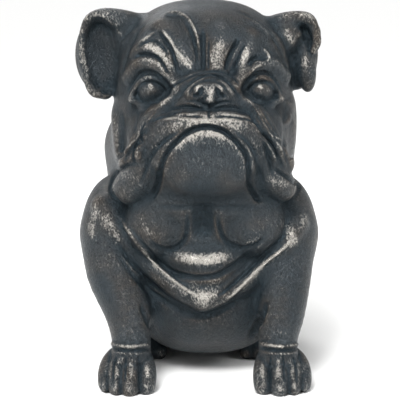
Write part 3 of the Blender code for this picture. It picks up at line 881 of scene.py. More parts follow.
        clay.groove([(45.5, 196.5), (49, 187), (51.5, 176), (55, 166.5)], 1.6, 2.0)
        clay.groove([(51.5, 176), (60, 170.5), (69, 164), (74.5, 158.5), (69, 149)], 2.2, 2.2)
        clay.ridge([(50, 201), (56, 198), (62.5, 194.5)], 1.0, 1.4)


@dataclass
class Forehead(Part):
    """Wrinkle pads, their channels and the brows."""

    axis: float = 2.0
    brow_level: float = 254.0

    def model(self, clay: Clay) -> None:
        """Adds the pads and the brows.

        Args:
            clay: The clay that takes them.
        """
        pads = (
            (
                [(-32.5, 282.5), (-25.5, 273), (-18.5, 263.5), (-12, 253.5)],
                [6, 8.5, 10, 9.5],
                [0.3, 2.2, 3.4, 3],
            ),
            (
                [(14, 277.5), (12, 268.5), (10.5, 259.5), (9.5, 250.5)],
                [6, 9, 10, 9],
                [0.2, 2.0, 3.2, 3],
            ),
            (
                [(36.5, 274.5), (33.5, 265.5), (30.5, 256.5), (29, 247.5)],
                [5, 6.5, 6.5, 6],
                [0.4, 2.2, 3, 2.6],
            ),
            (
                [(-51.5, 263.5), (-44, 268.5), (-34.5, 265.5), (-27, 255.5), (-19.5, 243.5)],
                [4.5, 6, 7, 7, 6],
                [1.5, 3, 3.4, 3, 2.2],
            ),
        )
        for path, radii, proud in pads:
            clay.laid_rope(path, radii, proud, blend=7)
        offsets = (60, 51, 40, 31, 23)
        rises = (-9, 0.5, 0.5, -6, -17)
        for side in SIDES:
            brow = [(self.axis + side * x, self.brow_level + z) for x, z in zip(offsets, rises)]
            clay.laid_rope(brow, [5, 6, 6.5, 6.5, 5.5], [2, 3.5, 4, 4, 3], blend=4)

    def carve(self, clay: Clay) -> None:
        """Carves the channels between the pads and the ridges round them.

        Args:
            clay: The clay that takes them.
        """
        clay.groove([(-0.5, 284), (-0.5, 271.5), (-0.5, 259.5), (0, 248)], 3.4, 2.8)
        clay.groove([(4.5, 274.5), (3.5, 265.5), (3.5, 256.5), (3.5, 249)], 1.2, 1.4)
        path = [
            (-34.5, 290), (-26, 293), (-17, 292.5), (-10, 287), (-5.5, 277.5), (-3.5, 268.5),
            (-2.5, 259.5),
        ]
        clay.ridge(path, 2.4, 2.0)
        clay.groove([(-15, 287.5), (-10, 279.5), (-7, 270), (-5, 261), (-4, 252)], 1.8, 1.8)
        path = [
            (-34.5, 281), (-29.5, 273), (-24.5, 265), (-21.5, 256.5), (-18.5, 246.5),
        ]
        clay.groove(path, 3.2, 2.2)
        clay.ridge([(-33, 282.5), (-26, 274), (-21, 265.5), (-15, 258)], 1.2, 2.2)
        clay.groove([(28, 276), (22.5, 267), (19, 258.5), (16.5, 248)], 3.2, 2.2)
        clay.ridge([(29.5, 273), (25, 265.5), (22, 258), (19.5, 249)], 0.8, 1.2)
        clay.groove([(32.5, 271.5), (28, 263.5), (24.5, 255), (22.5, 246.5)], 2.2, 1.6)
        path = [
            (-54.5, 258), (-48.5, 262), (-41, 262), (-34.5, 259.5), (-29.5, 252.5), (-25, 245),
        ]
        clay.groove(path, 2.6, 1.8)
        clay.ridge([(-50.5, 269.5), (-43.5, 274.5), (-35.5, 280)], 1.4, 1.6)
        clay.groove([(-52, 265.5), (-45.5, 271), (-37.5, 273), (-31, 268), (-25.5, 259.5)], 1.6, 1.8)
        clay.groove([(35, 252.5), (37, 258), (42.5, 260), (50, 258)], 3.0, 3.0)
        clay.ridge([(35, 247.5), (39.5, 252), (45.5, 255)], 1.6, 1.8)
        clay.ridge([(44, 267), (48, 263.5), (51, 257)], 1.6, 2.2)
        path = [
            (18.5, 296.5), (32.5, 292), (44.5, 284), (54.5, 272.5), (61, 259.5), (64, 244),
        ]
        clay.groove(path, 1.2, 1.6)
        clay.groove([(-39, 290.5), (-48.5, 281.5), (-55, 269.5), (-60, 256.5), (-63, 242.5)], 1.2, 2.0)


@dataclass
class Eyes(Part):
    """Sockets, eyeballs, lids and the bags under them."""

    axis: float = 2.0
    spacing: float = 83.5
    level: float = 234.0
    radius: float = 10.3

    def model(self, clay: Clay) -> None:
        """Adds the masses of both eyes.

        Args:
            clay: The clay that takes them.
        """
        for side in SIDES:
            middle = self.axis + side * self.spacing / 2
            clay.egg((middle, -67, self.level + 2.5), (15, 12, 10.5), blend=4, hollow=True)
        for side in SIDES:
            middle = self.axis + side * self.spacing / 2
            ball = (self.radius + 0.6, self.radius + 0.2, self.radius * 0.95)
            clay.egg((middle, -49.8, self.level - 0.5), ball, blend=0.6)
            upper = (
                (17, -48, -7),
                (10.5, -53.2, 4.8),
                (2, -57, 10.2),
                (-7, -57.5, 7.4),
                (-15.5, -57, -1.5),
            )
            lid = [(middle + side * x, y, self.level + z) for x, y, z in upper]
            clay.rope(lid, [1.5, 1.9, 2.1, 1.9, 1.5], blend=2.0)
            lower = (
                (15, -50, -8),
                (7, -54, -11),
                (-1, -57, -12.2),
                (-8.5, -58, -9.5),
                (-15.5, -57, -3.2),
            )
            bag = [(middle + side * x, y, self.level + z) for x, y, z in lower]
            clay.rope(bag, [2.0, 2.5, 2.8, 2.5, 1.6], blend=5)

    def carve(self, clay: Clay) -> None:
        """Carves the creases above the lids and under the bags.

        Args:
            clay: The clay that takes them.
        """
        path = [
            (-60, 228), (-55.5, 239), (-48, 248), (-39.5, 249), (-31.5, 244), (-25.5, 235),
        ]
        clay.groove(path, 1.6, 1.6)
        path = [
            (62, 226.5), (57, 239.5), (49.5, 247.5), (41, 248), (34, 242.5), (30.5, 233.5),
        ]
        clay.groove(path, 1.6, 1.6)
        clay.groove([(-51, 229.5), (-45.5, 226), (-38, 225.5), (-29.5, 229.5)], 1.0, 1.4)
        clay.groove([(55, 229), (49.5, 225.5), (40.5, 225.5), (33.5, 230.5)], 1.0, 1.4)


@dataclass
class Chest(Part):
    """Dewlap lobes under the chin, the bulge between them and the folds that meet in a V."""

    axis: float = 0.5
    lobe_spacing: float = 75.0
    bulge_width: float = 62.0

    def model(self, clay: Clay) -> None:
        """Adds the lobes, the bulge and the folds.

        Args:
            clay: The clay that takes them.
        """
        reach = self.lobe_spacing / 2
        clay.laid_egg((self.axis - reach, 130), (25, 24, 26), 8, (0, 18, 0), blend=6)
        clay.laid_egg((self.axis + reach, 131.5), (26, 24, 27), 8, (0, -15, 0), blend=6)
        clay.laid_egg((0, 106), (self.bulge_width / 2, 26, 13), 7, blend=6)
        left = [(-79, 145), (-66.5, 125.5), (-49.5, 105.5), (-31, 88.5), (-13.5, 76.5), (0.5, 70.5)]
        clay.laid_rope(left, [8, 9, 9.5, 9.5, 10, 10], [2.5, 4.5, 6, 7, 7, 6], blend=5)
        right = [(74, 131.5), (61.5, 113.5), (46, 97.5), (30.5, 83.5), (14.5, 74), (0.5, 70.5)]
        clay.laid_rope(right, [8, 9.5, 9.5, 9.5, 9.5, 10], [3.5, 6, 7, 7, 7, 6], blend=5)

    def carve(self, clay: Clay) -> None:
        """Carves the creases inside and outside the folds.

        Args:
            clay: The clay that takes them.
        """
        inner = [
            (-59, 131.5), (-48, 114), (-37, 101.5), (-24.5, 91.5), (-10.5, 87.5), (0.5, 87),
            (14, 90), (32.5, 103.5), (50, 120.5),
        ]
        clay.groove(inner, 2.6, 3.6)
        outer = [
            (-71.5, 117.5), (-62, 99), (-45, 79.5), (-26.5, 65.5), (-6, 56), (15, 61.5),
            (33, 76.5), (51, 93),
        ]
        clay.groove(outer, 1.6, 4.5)
        clay.groove([(-0.5, 148.5), (-0.5, 131.5), (-0.5, 115)], 6.5, 13.0, ends=0.35)
        path = [
            (-13.5, 144.5), (-12.5, 130), (-15, 117.5), (-24.5, 110), (-35.5, 111.5), (-45, 120.5),
        ]
        clay.groove(path, 2.0, 3.0)
        path = [
            (11.5, 143), (12, 128.5), (17.5, 116.5), (28.5, 111), (41, 113.5), (52, 123.5),
        ]
        clay.groove(path, 2.0, 3.0)
        path = [
            (-71, 146), (-60.5, 128.5), (-49.5, 112.5), (-38.5, 99.5), (-26, 87), (-12, 76.5),
            (-2.5, 70.5),
        ]
        clay.ridge(path, 2.2, 2.6)
        clay.ridge([(74, 122), (61.5, 110), (49, 99.5), (36.5, 87), (24, 74.5), (13, 65.5)], 2.2, 2.6)
        clay.groove([(67.5, 127), (57, 114), (43, 101.5), (29, 87.5), (18, 77), (7, 69)], 2.0, 2.6)
        clay.ridge([(-67, 109.5), (-54.5, 93), (-40.5, 79.5), (-21.5, 65.5)], 1.2, 2.6)
        clay.groove([(-68.5, 117.5), (-57.5, 99.5), (-43.5, 85), (-28, 73)], 1.4, 2.6)


@dataclass
class WaxAndPaintedLight:
    """Where silver wax lies on the raised forms, and where highlights and shade are painted, drawn on
    the front sheet.
    """

    strength: float = 1.0

    def mark_face(self, clay: Clay) -> None:
        """Marks the forehead, the nose, the lips and the chin.

        Args:
            clay: The clay that takes them.
        """
        marks = (
            # The pads of the forehead and the ridges round them
            ([(-25.5, 270), (-18, 261), (-11, 253.5), (-5.5, 249.5)], 0.8, 7.0),
            ([(-33, 281.5), (-27, 275.5), (-20, 265.5)], 0.5, 2.6),
            ([(-28.5, 293), (-16.5, 291.5), (-8.5, 283), (-5, 273)], 0.45, 2.4),
            ([(-50, 265.5), (-42.5, 268.5), (-34, 264), (-27, 255), (-18.5, 243.5)], 0.9, 4.4),
            ([(-51.5, 258), (-41, 258), (-33, 253.5), (-26.5, 246.5)], 0.6, 2.6),
            ([(-49, 270), (-41.5, 276), (-34.5, 280)], 0.5, 2.0),
            ([(15, 276), (12, 267), (9.5, 258), (8, 248)], 0.9, 8.5),
            ([(35.5, 271.5), (32, 262.5), (29.5, 253.5), (28, 245.5)], 0.85, 4.6),
            ([(35.5, 249.5), (40, 252.5), (45.5, 255.5)], 0.6, 2.4),
            ([(43, 268), (48, 263.5), (51.5, 257)], 0.5, 2.2),
            ([(-5.5, 287), (9, 288.5), (25, 284)], 0.15, 10.0),
            # Painted shade that darkens the top of the skull, where the light from above falls
            ([(-25.5, 299), (3.5, 302), (35.5, 296.5)], -0.5, 12.0),
            # The nose, its hood and the folds beside it
            ([(-15.5, 228), (-11, 235.5), (-4, 242.5), (4.5, 244)], 0.6, 2.4),
            ([(7.5, 244), (16, 241), (21, 234), (26.5, 225.5)], 0.6, 2.4),
            ([(4.5, 238), (5, 232), (5, 225.5)], 0.8, 3.2),
            ([(-6.5, 234), (-2, 238.5)], 0.6, 2.6),
            ([(10.5, 238.5), (16, 235)], 0.6, 2.6),
            ([(-38, 219), (-30.5, 225.5), (-23.5, 231), (-15.5, 237.5)], 0.7, 3.2),
            ([(28, 238), (34.5, 229.5), (40.5, 219.5)], 0.3, 3.0),
            # Painted highlights on the eyeballs
            ([(-43, 237.5), (-38.5, 239)], 1.2, 4.6),
            ([(41, 237.5), (45.5, 239)], 1.2, 4.6),
            # The lids and the arch over the nose, where no wax is left, with painted shade in the
            # creases round them
            ([(-61, 229), (-51.5, 242.5), (-42.5, 248), (-32.5, 242.5), (-25, 232.5)], -0.7, 4.0),
            ([(-55, 228), (-43.5, 222.5), (-30.5, 226.5)], -0.6, 3.5),
            ([(62.5, 226.5), (53.5, 242), (45, 247.5), (35.5, 242.5), (29, 232.5)], -0.7, 4.0),
            ([(56.5, 227.5), (45, 222), (33.5, 226.5)], -0.6, 3.5),
            ([(-13.5, 239.5), (-2.5, 246.5), (8, 248), (19, 245), (28, 235)], -0.5, 2.6),
            # The wrinkles and the hanging lips
            ([(-15, 223.5), (-6.5, 223.5), (2, 220.5)], 0.45, 2.0),
            ([(8, 220.5), (17.5, 222.5), (28, 222)], 0.4, 2.0),
            ([(-33.5, 212.5), (-19.5, 215), (0.5, 217)], 0.75, 2.4),
            ([(8, 217), (22, 215.5), (37.5, 212.5)], 0.75, 2.4),
            (
                [
                    (-35, 198), (-24, 205.5), (-12, 210.5), (4.5, 212), (19, 210.5), (30.5, 204),
                    (40.5, 194.5),
                ],
                0.75, 6.5,
            ),
            ([(-43.5, 168), (-41.5, 180.5), (-36, 191), (-27.5, 200)], 0.5, 5.5),
            ([(36, 199.5), (42, 190), (47, 179)], 0.5, 5.5),
            ([(-71, 152.5), (-69.5, 163.5), (-61.5, 169.5), (-49, 166.5)], 0.45, 5.5),
            ([(45.5, 168), (58, 163.5), (69, 157)], 0.45, 5.5),
            # The rim of the chin
            (
                [(-24.5, 180.5), (-17.5, 193), (-6.5, 199.5), (4.5, 201), (16, 198.5), (25, 191.5)],
                0.75, 5.0,
            ),
            ([(-12, 191.5), (5, 194.5), (20.5, 190)], 0.25, 9.0),
            # Painted shade that darkens the front of the chin below its rim
            ([(-18, 162), (0.5, 157), (22, 162)], -0.4, 17.0),
            # Side folds of the cheeks
            ([(-68, 221), (-67.5, 204), (-65.5, 182)], 0.3, 2.6),
            ([(67, 242.5), (69.5, 219.5), (70, 196.5), (68, 171)], 0.4, 2.8),
        )
        for path, amount, half_width in marks:
            clay.mark_wax_and_light(path, amount * self.strength, half_width)

    def mark_body(self, clay: Clay) -> None:
        """Marks the ears, the chest, the shoulders and the paws.

        Args:
            clay: The clay that takes them.
        """
        marks = (
            # The walls and rims of the ears
            ([(-91.5, 276), (-92.5, 265.5), (-90, 253.5), (-86, 244)], 0.5, 3.4),
            ([(-91, 281), (-84.5, 290.5), (-77, 291.5), (-69.5, 285.5), (-57.5, 285.5)], 0.5, 1.8),
            ([(-67.5, 282.5), (-63.5, 278.5), (-58, 277.5)], 0.5, 4.0),
            ([(60.5, 282.5), (64.5, 275.5), (69, 267)], 0.8, 5.5),
            ([(55, 288.5), (67.5, 293), (79.5, 292), (85.5, 285.5)], 0.35, 2.4),
            ([(74, 262.5), (77, 258), (76, 250.5)], 0.6, 5.0),
            ([(81, 288.5), (76, 281), (72, 271.5)], 0.4, 2.4),
            # The bulge of the chest and the V of folds
            ([(-26, 109.5), (-16.5, 104.5), (0, 101.5), (14.5, 104.5), (25.5, 110)], 1.05, 8.0),
            ([(-71, 144.5), (-62, 130), (-51, 115)], 0.3, 3.0),
            ([(-54, 119), (-43.5, 104.5), (-32.5, 92.5), (-20, 81), (-6, 71.5)], 0.85, 6.0),
            ([(-15, 85), (-7.5, 77), (0.5, 74), (8.5, 77), (18, 86)], 1.2, 10.5),
            ([(-21.5, 65.5), (-6, 65), (10, 64), (22.5, 69)], 0.35, 6.0),
            ([(75.5, 123.5), (63, 111), (50.5, 100.5), (38.5, 87.5), (26, 75.5), (13, 65.5)], 0.9, 5.5),
            ([(-67, 109.5), (-54.5, 93), (-40.5, 79.5), (-21.5, 65.5)], 0.35, 2.4),
            ([(-51, 138), (-45, 127), (-37, 115.5)], 0.3, 4.0),
            ([(19.5, 117.5), (32, 113.5), (46, 120.5)], 0.2, 4.0),
            # The points of the shoulders
            ([(-81, 149), (-85, 138), (-87.5, 125.5), (-85.5, 114)], 0.9, 5.0),
            ([(-79, 141), (-73, 127), (-62, 109.5)], 0.6, 9.0),
            ([(63, 136.5), (67.5, 123.5), (72.5, 107.5)], 1.0, 8.0),
            ([(75, 149), (80, 136.5), (75.5, 123.5)], 0.3, 5.0),
            # The legs below the shoulders, darkened with painted shade
            ([(-82.5, 95), (-76.5, 72), (-66, 44.5)], -0.5, 17.0),
            ([(79, 99.5), (73, 72), (64, 44.5)], -0.5, 17.0),
            # The rings of the wrists
            ([(-69, 30.5), (-60.5, 29.5), (-51, 30.5)], 0.7, 2.2),
            ([(46.5, 34), (57, 31.5), (67, 29.5)], 0.7, 2.2),
        )
        for path, amount, half_width in marks:
            clay.mark_wax_and_light(path, amount * self.strength, half_width)


def linear(shade: str) -> tuple[float, float, float, float]:
    """Turns an sRGB colour such as "#3a4046" into a linear one with full cover.

    Args:
        shade: The colour in hex.

    Returns:
        Red, green, blue and alpha.
    """
    parts = [int(shade[place : place + 2], 16) / 255 for place in (1, 3, 5)]
    shades = [p / 12.92 if p <= 0.04045 else ((p + 0.055) / 1.055) ** 2.4 for p in parts]
    return (*shades, 1.0)


def add_node(
    tree: bpy.types.NodeTree, kind: str, values: dict, out: int | str = 0, **settings: object
) -> bpy.types.NodeSocket:
    """Adds a node to a material or a world.

    Args:
        tree: The node tree.
        kind: The node's type name, after the "ShaderNode" that starts it.
        values: What goes into each input, by its name or number. A socket of another node is
            linked, and anything else is set as the input's value.
        out: The name or number of the output that is wanted.
        **settings: The node's own settings.

    Returns:
        That output.
    """
    node = tree.nodes.new("ShaderNode" + kind)
    for name, value in settings.items():
        setattr(node, name, value)
    for name, value in values.items():
        if isinstance(value, bpy.types.NodeSocket):
            tree.links.new(value, node.inputs[name])
        else:
            node.inputs[name].default_value = value
    return node.outputs[out]


def limits(span: Ramp) -> dict:
    """Numbers the ends of two ranges, from and to, as a node's inputs one to four."""
    return dict(enumerate(span, 1))


@dataclass(frozen=True)
class Patina:
    """Cast resin with a dark bronze-grey patina and silver wax, with painted highlights and shade.

    The ground is near-black slate, partly metallic from the bronze powder in the paint. A blue
    green patina stays where a cloth can't reach, and the same blue green is painted as shade in
    creases, on undersides and over some brightly lit places. A brown bronze shows where the dark
    coat is thin, and the wax catches the crests and the tops of the tooled strokes; where forms face
    the lamps in front and above it is laid on thicker as painted highlight. To the eye that gives
    old metal with depth in its folds, brighter wherever a hand would touch it.
    """

    slate: str = "#373d41"
    wash: str = "#1b2125"
    # Blue green of the patina in hollows, also painted as shade in creases and on undersides
    verdigris_and_shade: str = "#253138"
    bronze: str = "#483e34"
    # The silver wax, also painting highlights where forms face the lamps
    wax: str = "#b2aea7"
    ground_metallic: float = 0.6
    wax_metallic: float = 0.9
    ground_roughness: float = 0.31
    wax_roughness: float = 0.28
    # The finest tooled strokes are about 0.4 mm wide on the real casting. They are drawn 0.8 mm
    # wide, because finer ones vanish in a picture of 400 pixels, and 3.2 times as long as wide.
    stroke_mm: float = 0.8
    stroke_length: float = 3.2
    stroke_tilts: tuple[float, float] = (28.0, -22.0)
    stroke_relief: float = 2.5
    # Specks of dark wash left in the pits of the surface
    pit_mm: float = 1.6
    pit_relief: float = 0.4
    # Slow changes of tone where the washes ran together
    cloud_mm: float = 26.0
    # How strokes, pits and clouds add to the wax, take from it, and how much of it then shows
    wax_by_stroke: Ramp = (0.44, 0.66, -0.42, 0.36)
    wax_by_pit: Ramp = (0.35, 0.65, -0.22, 0.24)
    wax_by_cloud: Ramp = (0.35, 0.65, 1.2, 0.75)
    wax_shown: Ramp = (0.22, 1.12, 0.0, 0.97)
    # Where the bronze shows through, where the wash lies and where the gloss is dulled
    bronze_by_cloud: Ramp = (0.42, 0.62, 0.0, 0.8)
    wash_by_stroke: Ramp = (0.40, 0.60, 0.85, 0.0)
    dull_by_pit: Ramp = (0.3, 0.7, -0.06, 0.08)

    def strokes(
        self, tree: bpy.types.NodeTree, place: bpy.types.NodeSocket, tilt: float
    ) -> bpy.types.NodeSocket:
        """Draws short tooled strokes that lean one way.

        Args:
            tree: The material's nodes.
            place: Where the surface point is.
            tilt: How far the strokes lean from upright, in degrees.

        Returns:
            The height of the strokes, from 0 to 1.
        """
        turned = add_node(tree, "Mapping", {"Vector": place, "Rotation": (0, math.radians(tilt), 0)})
        fine = 1.0 / (self.stroke_mm * MM)
        long = 1.0 / (self.stroke_mm * self.stroke_length * MM)
        scaled = add_node(tree, "Mapping", {"Vector": turned, "Scale": (fine, fine, long)})
        look = {"Scale": 0.7, "Detail": 2.0, "Roughness": 0.6, "Distortion": 0.8}
        return add_node(tree, "TexNoise", {"Vector": scaled, **look}, "Fac")

    def wax_left(
        self,
        tree: bpy.types.NodeTree,
        hair: bpy.types.NodeSocket,
        pits: bpy.types.NodeSocket,
        cloud: bpy.types.NodeSocket,
    ) -> bpy.types.NodeSocket:
        """Works out how much wax and painted highlight shows: most on crests, broken up by the strokes
        and the pits.

        Args:
            tree: The material's nodes.
            hair: The height of the strokes.
            pits: The height of the pits.
            cloud: The slow changes of tone.

        Returns:
            The share of wax and painted highlight, from 0 to 1.
        """
        wax_and_painted_light = add_node(tree, "Attribute", {}, "Fac", attribute_name="wax_and_painted_light")
        stroke_share = add_node(tree, "MapRange", {"Value": hair, **limits(self.wax_by_stroke)})
        pit_share = add_node(tree, "MapRange", {"Value": pits, **limits(self.wax_by_pit)})
        broken = add_node(tree, "Math", {0: stroke_share, 1: pit_share}, operation="ADD")
        patchy = add_node(tree, "MapRange", {"Value": cloud, **limits(self.wax_by_cloud)})
        patched = add_node(tree, "Math", {0: wax_and_painted_light, 1: patchy}, operation="MULTIPLY")
        met = add_node(tree, "Math", {0: patched, 1: broken}, operation="ADD")
        shown = {"Value": met, **limits(self.wax_shown)}
        return add_node(tree, "MapRange", shown, interpolation_type="SMOOTHSTEP")

    def colour(
        self,
        tree: bpy.types.NodeTree,
        hair: bpy.types.NodeSocket,
        cloud: bpy.types.NodeSocket,
        wax: bpy.types.NodeSocket,
    ) -> bpy.types.NodeSocket:
        """Lays the coats over each other, each where it was left.

        Args:
            tree: The material's nodes.
            hair: The height of the strokes.
            cloud: The slow changes of tone.
            wax: The share of wax.

        Returns:
            The colour.
        """
        raised = add_node(tree, "Attribute", {}, "Fac", attribute_name="raised")
        wash_and_painted_shade = add_node(tree, "Attribute", {}, "Fac", attribute_name="wash_and_painted_shade")
        worn = add_node(tree, "MapRange", {"Value": cloud, **limits(self.bronze_by_cloud)})
        brown = add_node(tree, "Math", {0: worn, 1: raised}, operation="MULTIPLY")
        furrow = add_node(tree, "MapRange", {"Value": hair, **limits(self.wash_by_stroke)})
        # The blue-green coat is patina wash and painted shade; the wax coat is wax and painted
        # highlight
        coats = ((brown, self.bronze), (wash_and_painted_shade, self.verdigris_and_shade), (furrow, self.wash), (wax, self.wax))
        found = linear(self.slate)
        for share, shade in coats:
            values = {0: share, 6: found, 7: linear(shade)}
            found = add_node(tree, "Mix", values, 2, data_type="RGBA")
        return found

    def roughness(
        self, tree: bpy.types.NodeTree, pits: bpy.types.NodeSocket, wax: bpy.types.NodeSocket
    ) -> bpy.types.NodeSocket:
        """Works out the roughness: a little less under wax, a little more in the pits.

        Args:
            tree: The material's nodes.
            pits: The height of the pits.
            wax: The share of wax.

        Returns:
            The roughness.
        """
        ends = {3: self.ground_roughness, 4: self.wax_roughness}
        gloss = add_node(tree, "MapRange", {"Value": wax, **ends})
        dulled = add_node(tree, "MapRange", {"Value": pits, **limits(self.dull_by_pit)})
        return add_node(tree, "Math", {0: gloss, 1: dulled}, operation="ADD")

    def relief(
        self, tree: bpy.types.NodeTree, hair: bpy.types.NodeSocket, pits: bpy.types.NodeSocket
    ) -> bpy.types.NodeSocket:
        """Presses the pits and the strokes into the surface.

        Args:
            tree: The material's nodes.
            hair: The height of the strokes.
            pits: The height of the pits.

        Returns:
            The normal.
        """
        rise = self.pit_relief * self.pit_mm * MM
        fine = add_node(tree, "Bump", {"Height": pits, "Strength": 1.0, "Distance": rise})
        rise = self.stroke_relief * self.stroke_mm * MM
        values = {"Height": hair, "Strength": 1.0, "Distance": rise, "Normal": fine}
        return add_node(tree, "Bump", values)

    def material(self) -> bpy.types.Material:
        """Builds the patina.

        Returns:
            The material.
        """
        made = bpy.data.materials.new("Rubbed bronze-grey patina on cast resin")
        made.use_nodes = True
        tree = made.node_tree
        place = add_node(tree, "TexCoord", {}, "Object")
        left, right = (self.strokes(tree, place, tilt) for tilt in self.stroke_tilts)
        hair = add_node(tree, "Math", {0: left, 1: right}, operation="MAXIMUM")
        slow = {"Scale": 1.0 / (self.cloud_mm * MM), "Detail": 3.0}
        cloud = add_node(tree, "TexNoise", {"Vector": place, **slow}, "Fac")
        specks = {"Scale": 1.0 / (self.pit_mm * MM), "Detail": 4.0, "Roughness": 0.7}
        pits = add_node(tree, "TexNoise", {"Vector": place, **specks}, "Fac")
        wax = self.wax_left(tree, hair, pits, cloud)
        ends = {3: self.ground_metallic, 4: self.wax_metallic}
        looks = {
            "Base Color": self.colour(tree, hair, cloud, wax),
            "Metallic": add_node(tree, "MapRange", {"Value": wax, **ends}),
            "Roughness": self.roughness(tree, pits, wax),
            "Normal": self.relief(tree, hair, pits),
        }
        for name, socket in looks.items():
            tree.links.new(socket, tree.nodes["Principled BSDF"].inputs[name])
        return made


def rows_of(items: object, name: str, width: int, kind: type = np.float32) -> np.ndarray:
    """Reads a value of every point or edge of a mesh.

    Args:
        items: The mesh's points or edges.
        name: The value's name.
        width: How many numbers the value has.
        kind: The kind of the numbers.

    Returns:
        The values, one a row.
    """
    flat = np.empty(len(items) * width, kind)
    items.foreach_get(name, flat)
    return flat.reshape(-1, width)


def skin_points(mesh: bpy.types.Mesh) -> np.ndarray:
    """Reads a mesh's points, one a row."""
    return rows_of(mesh.vertices, "co", 3).astype(float)


def outward(mesh: bpy.types.Mesh) -> np.ndarray:
    """Reads the direction out of a mesh at each of its points, one a row."""
    return rows_of(mesh.vertices, "normal", 3).astype(float)


def set_points(mesh: bpy.types.Mesh, points: np.ndarray) -> None:
    """Moves a mesh's points to new places."""
    mesh.vertices.foreach_set("co", points.astype(np.float32).ravel())
    mesh.update()


def averaged(values: np.ndarray, ends: np.ndarray, rounds: int) -> np.ndarray:
    """Spreads values over a mesh, each point taking the mean of its neighbours.

    Args:
        values: One row of values for each point.
        ends: The two point numbers of each edge.
        rounds: How many times the values are spread.

    Returns:
        The spread values.
    """
    count = len(values)
    first, last = ends[:, 0], ends[:, 1]
    share = np.bincount(first, minlength=count) + np.bincount(last, minlength=count)
    share = np.maximum(share, 1).astype(float)
    for _ in range(rounds):
        total = np.empty_like(values)
        for column in range(values.shape[1]):
            own = values[:, column]
            total[:, column] = np.bincount(first, own[last], count)
            total[:, column] += np.bincount(last, own[first], count)
        values = 0.5 * values + 0.5 * total / share[:, None]
    return values


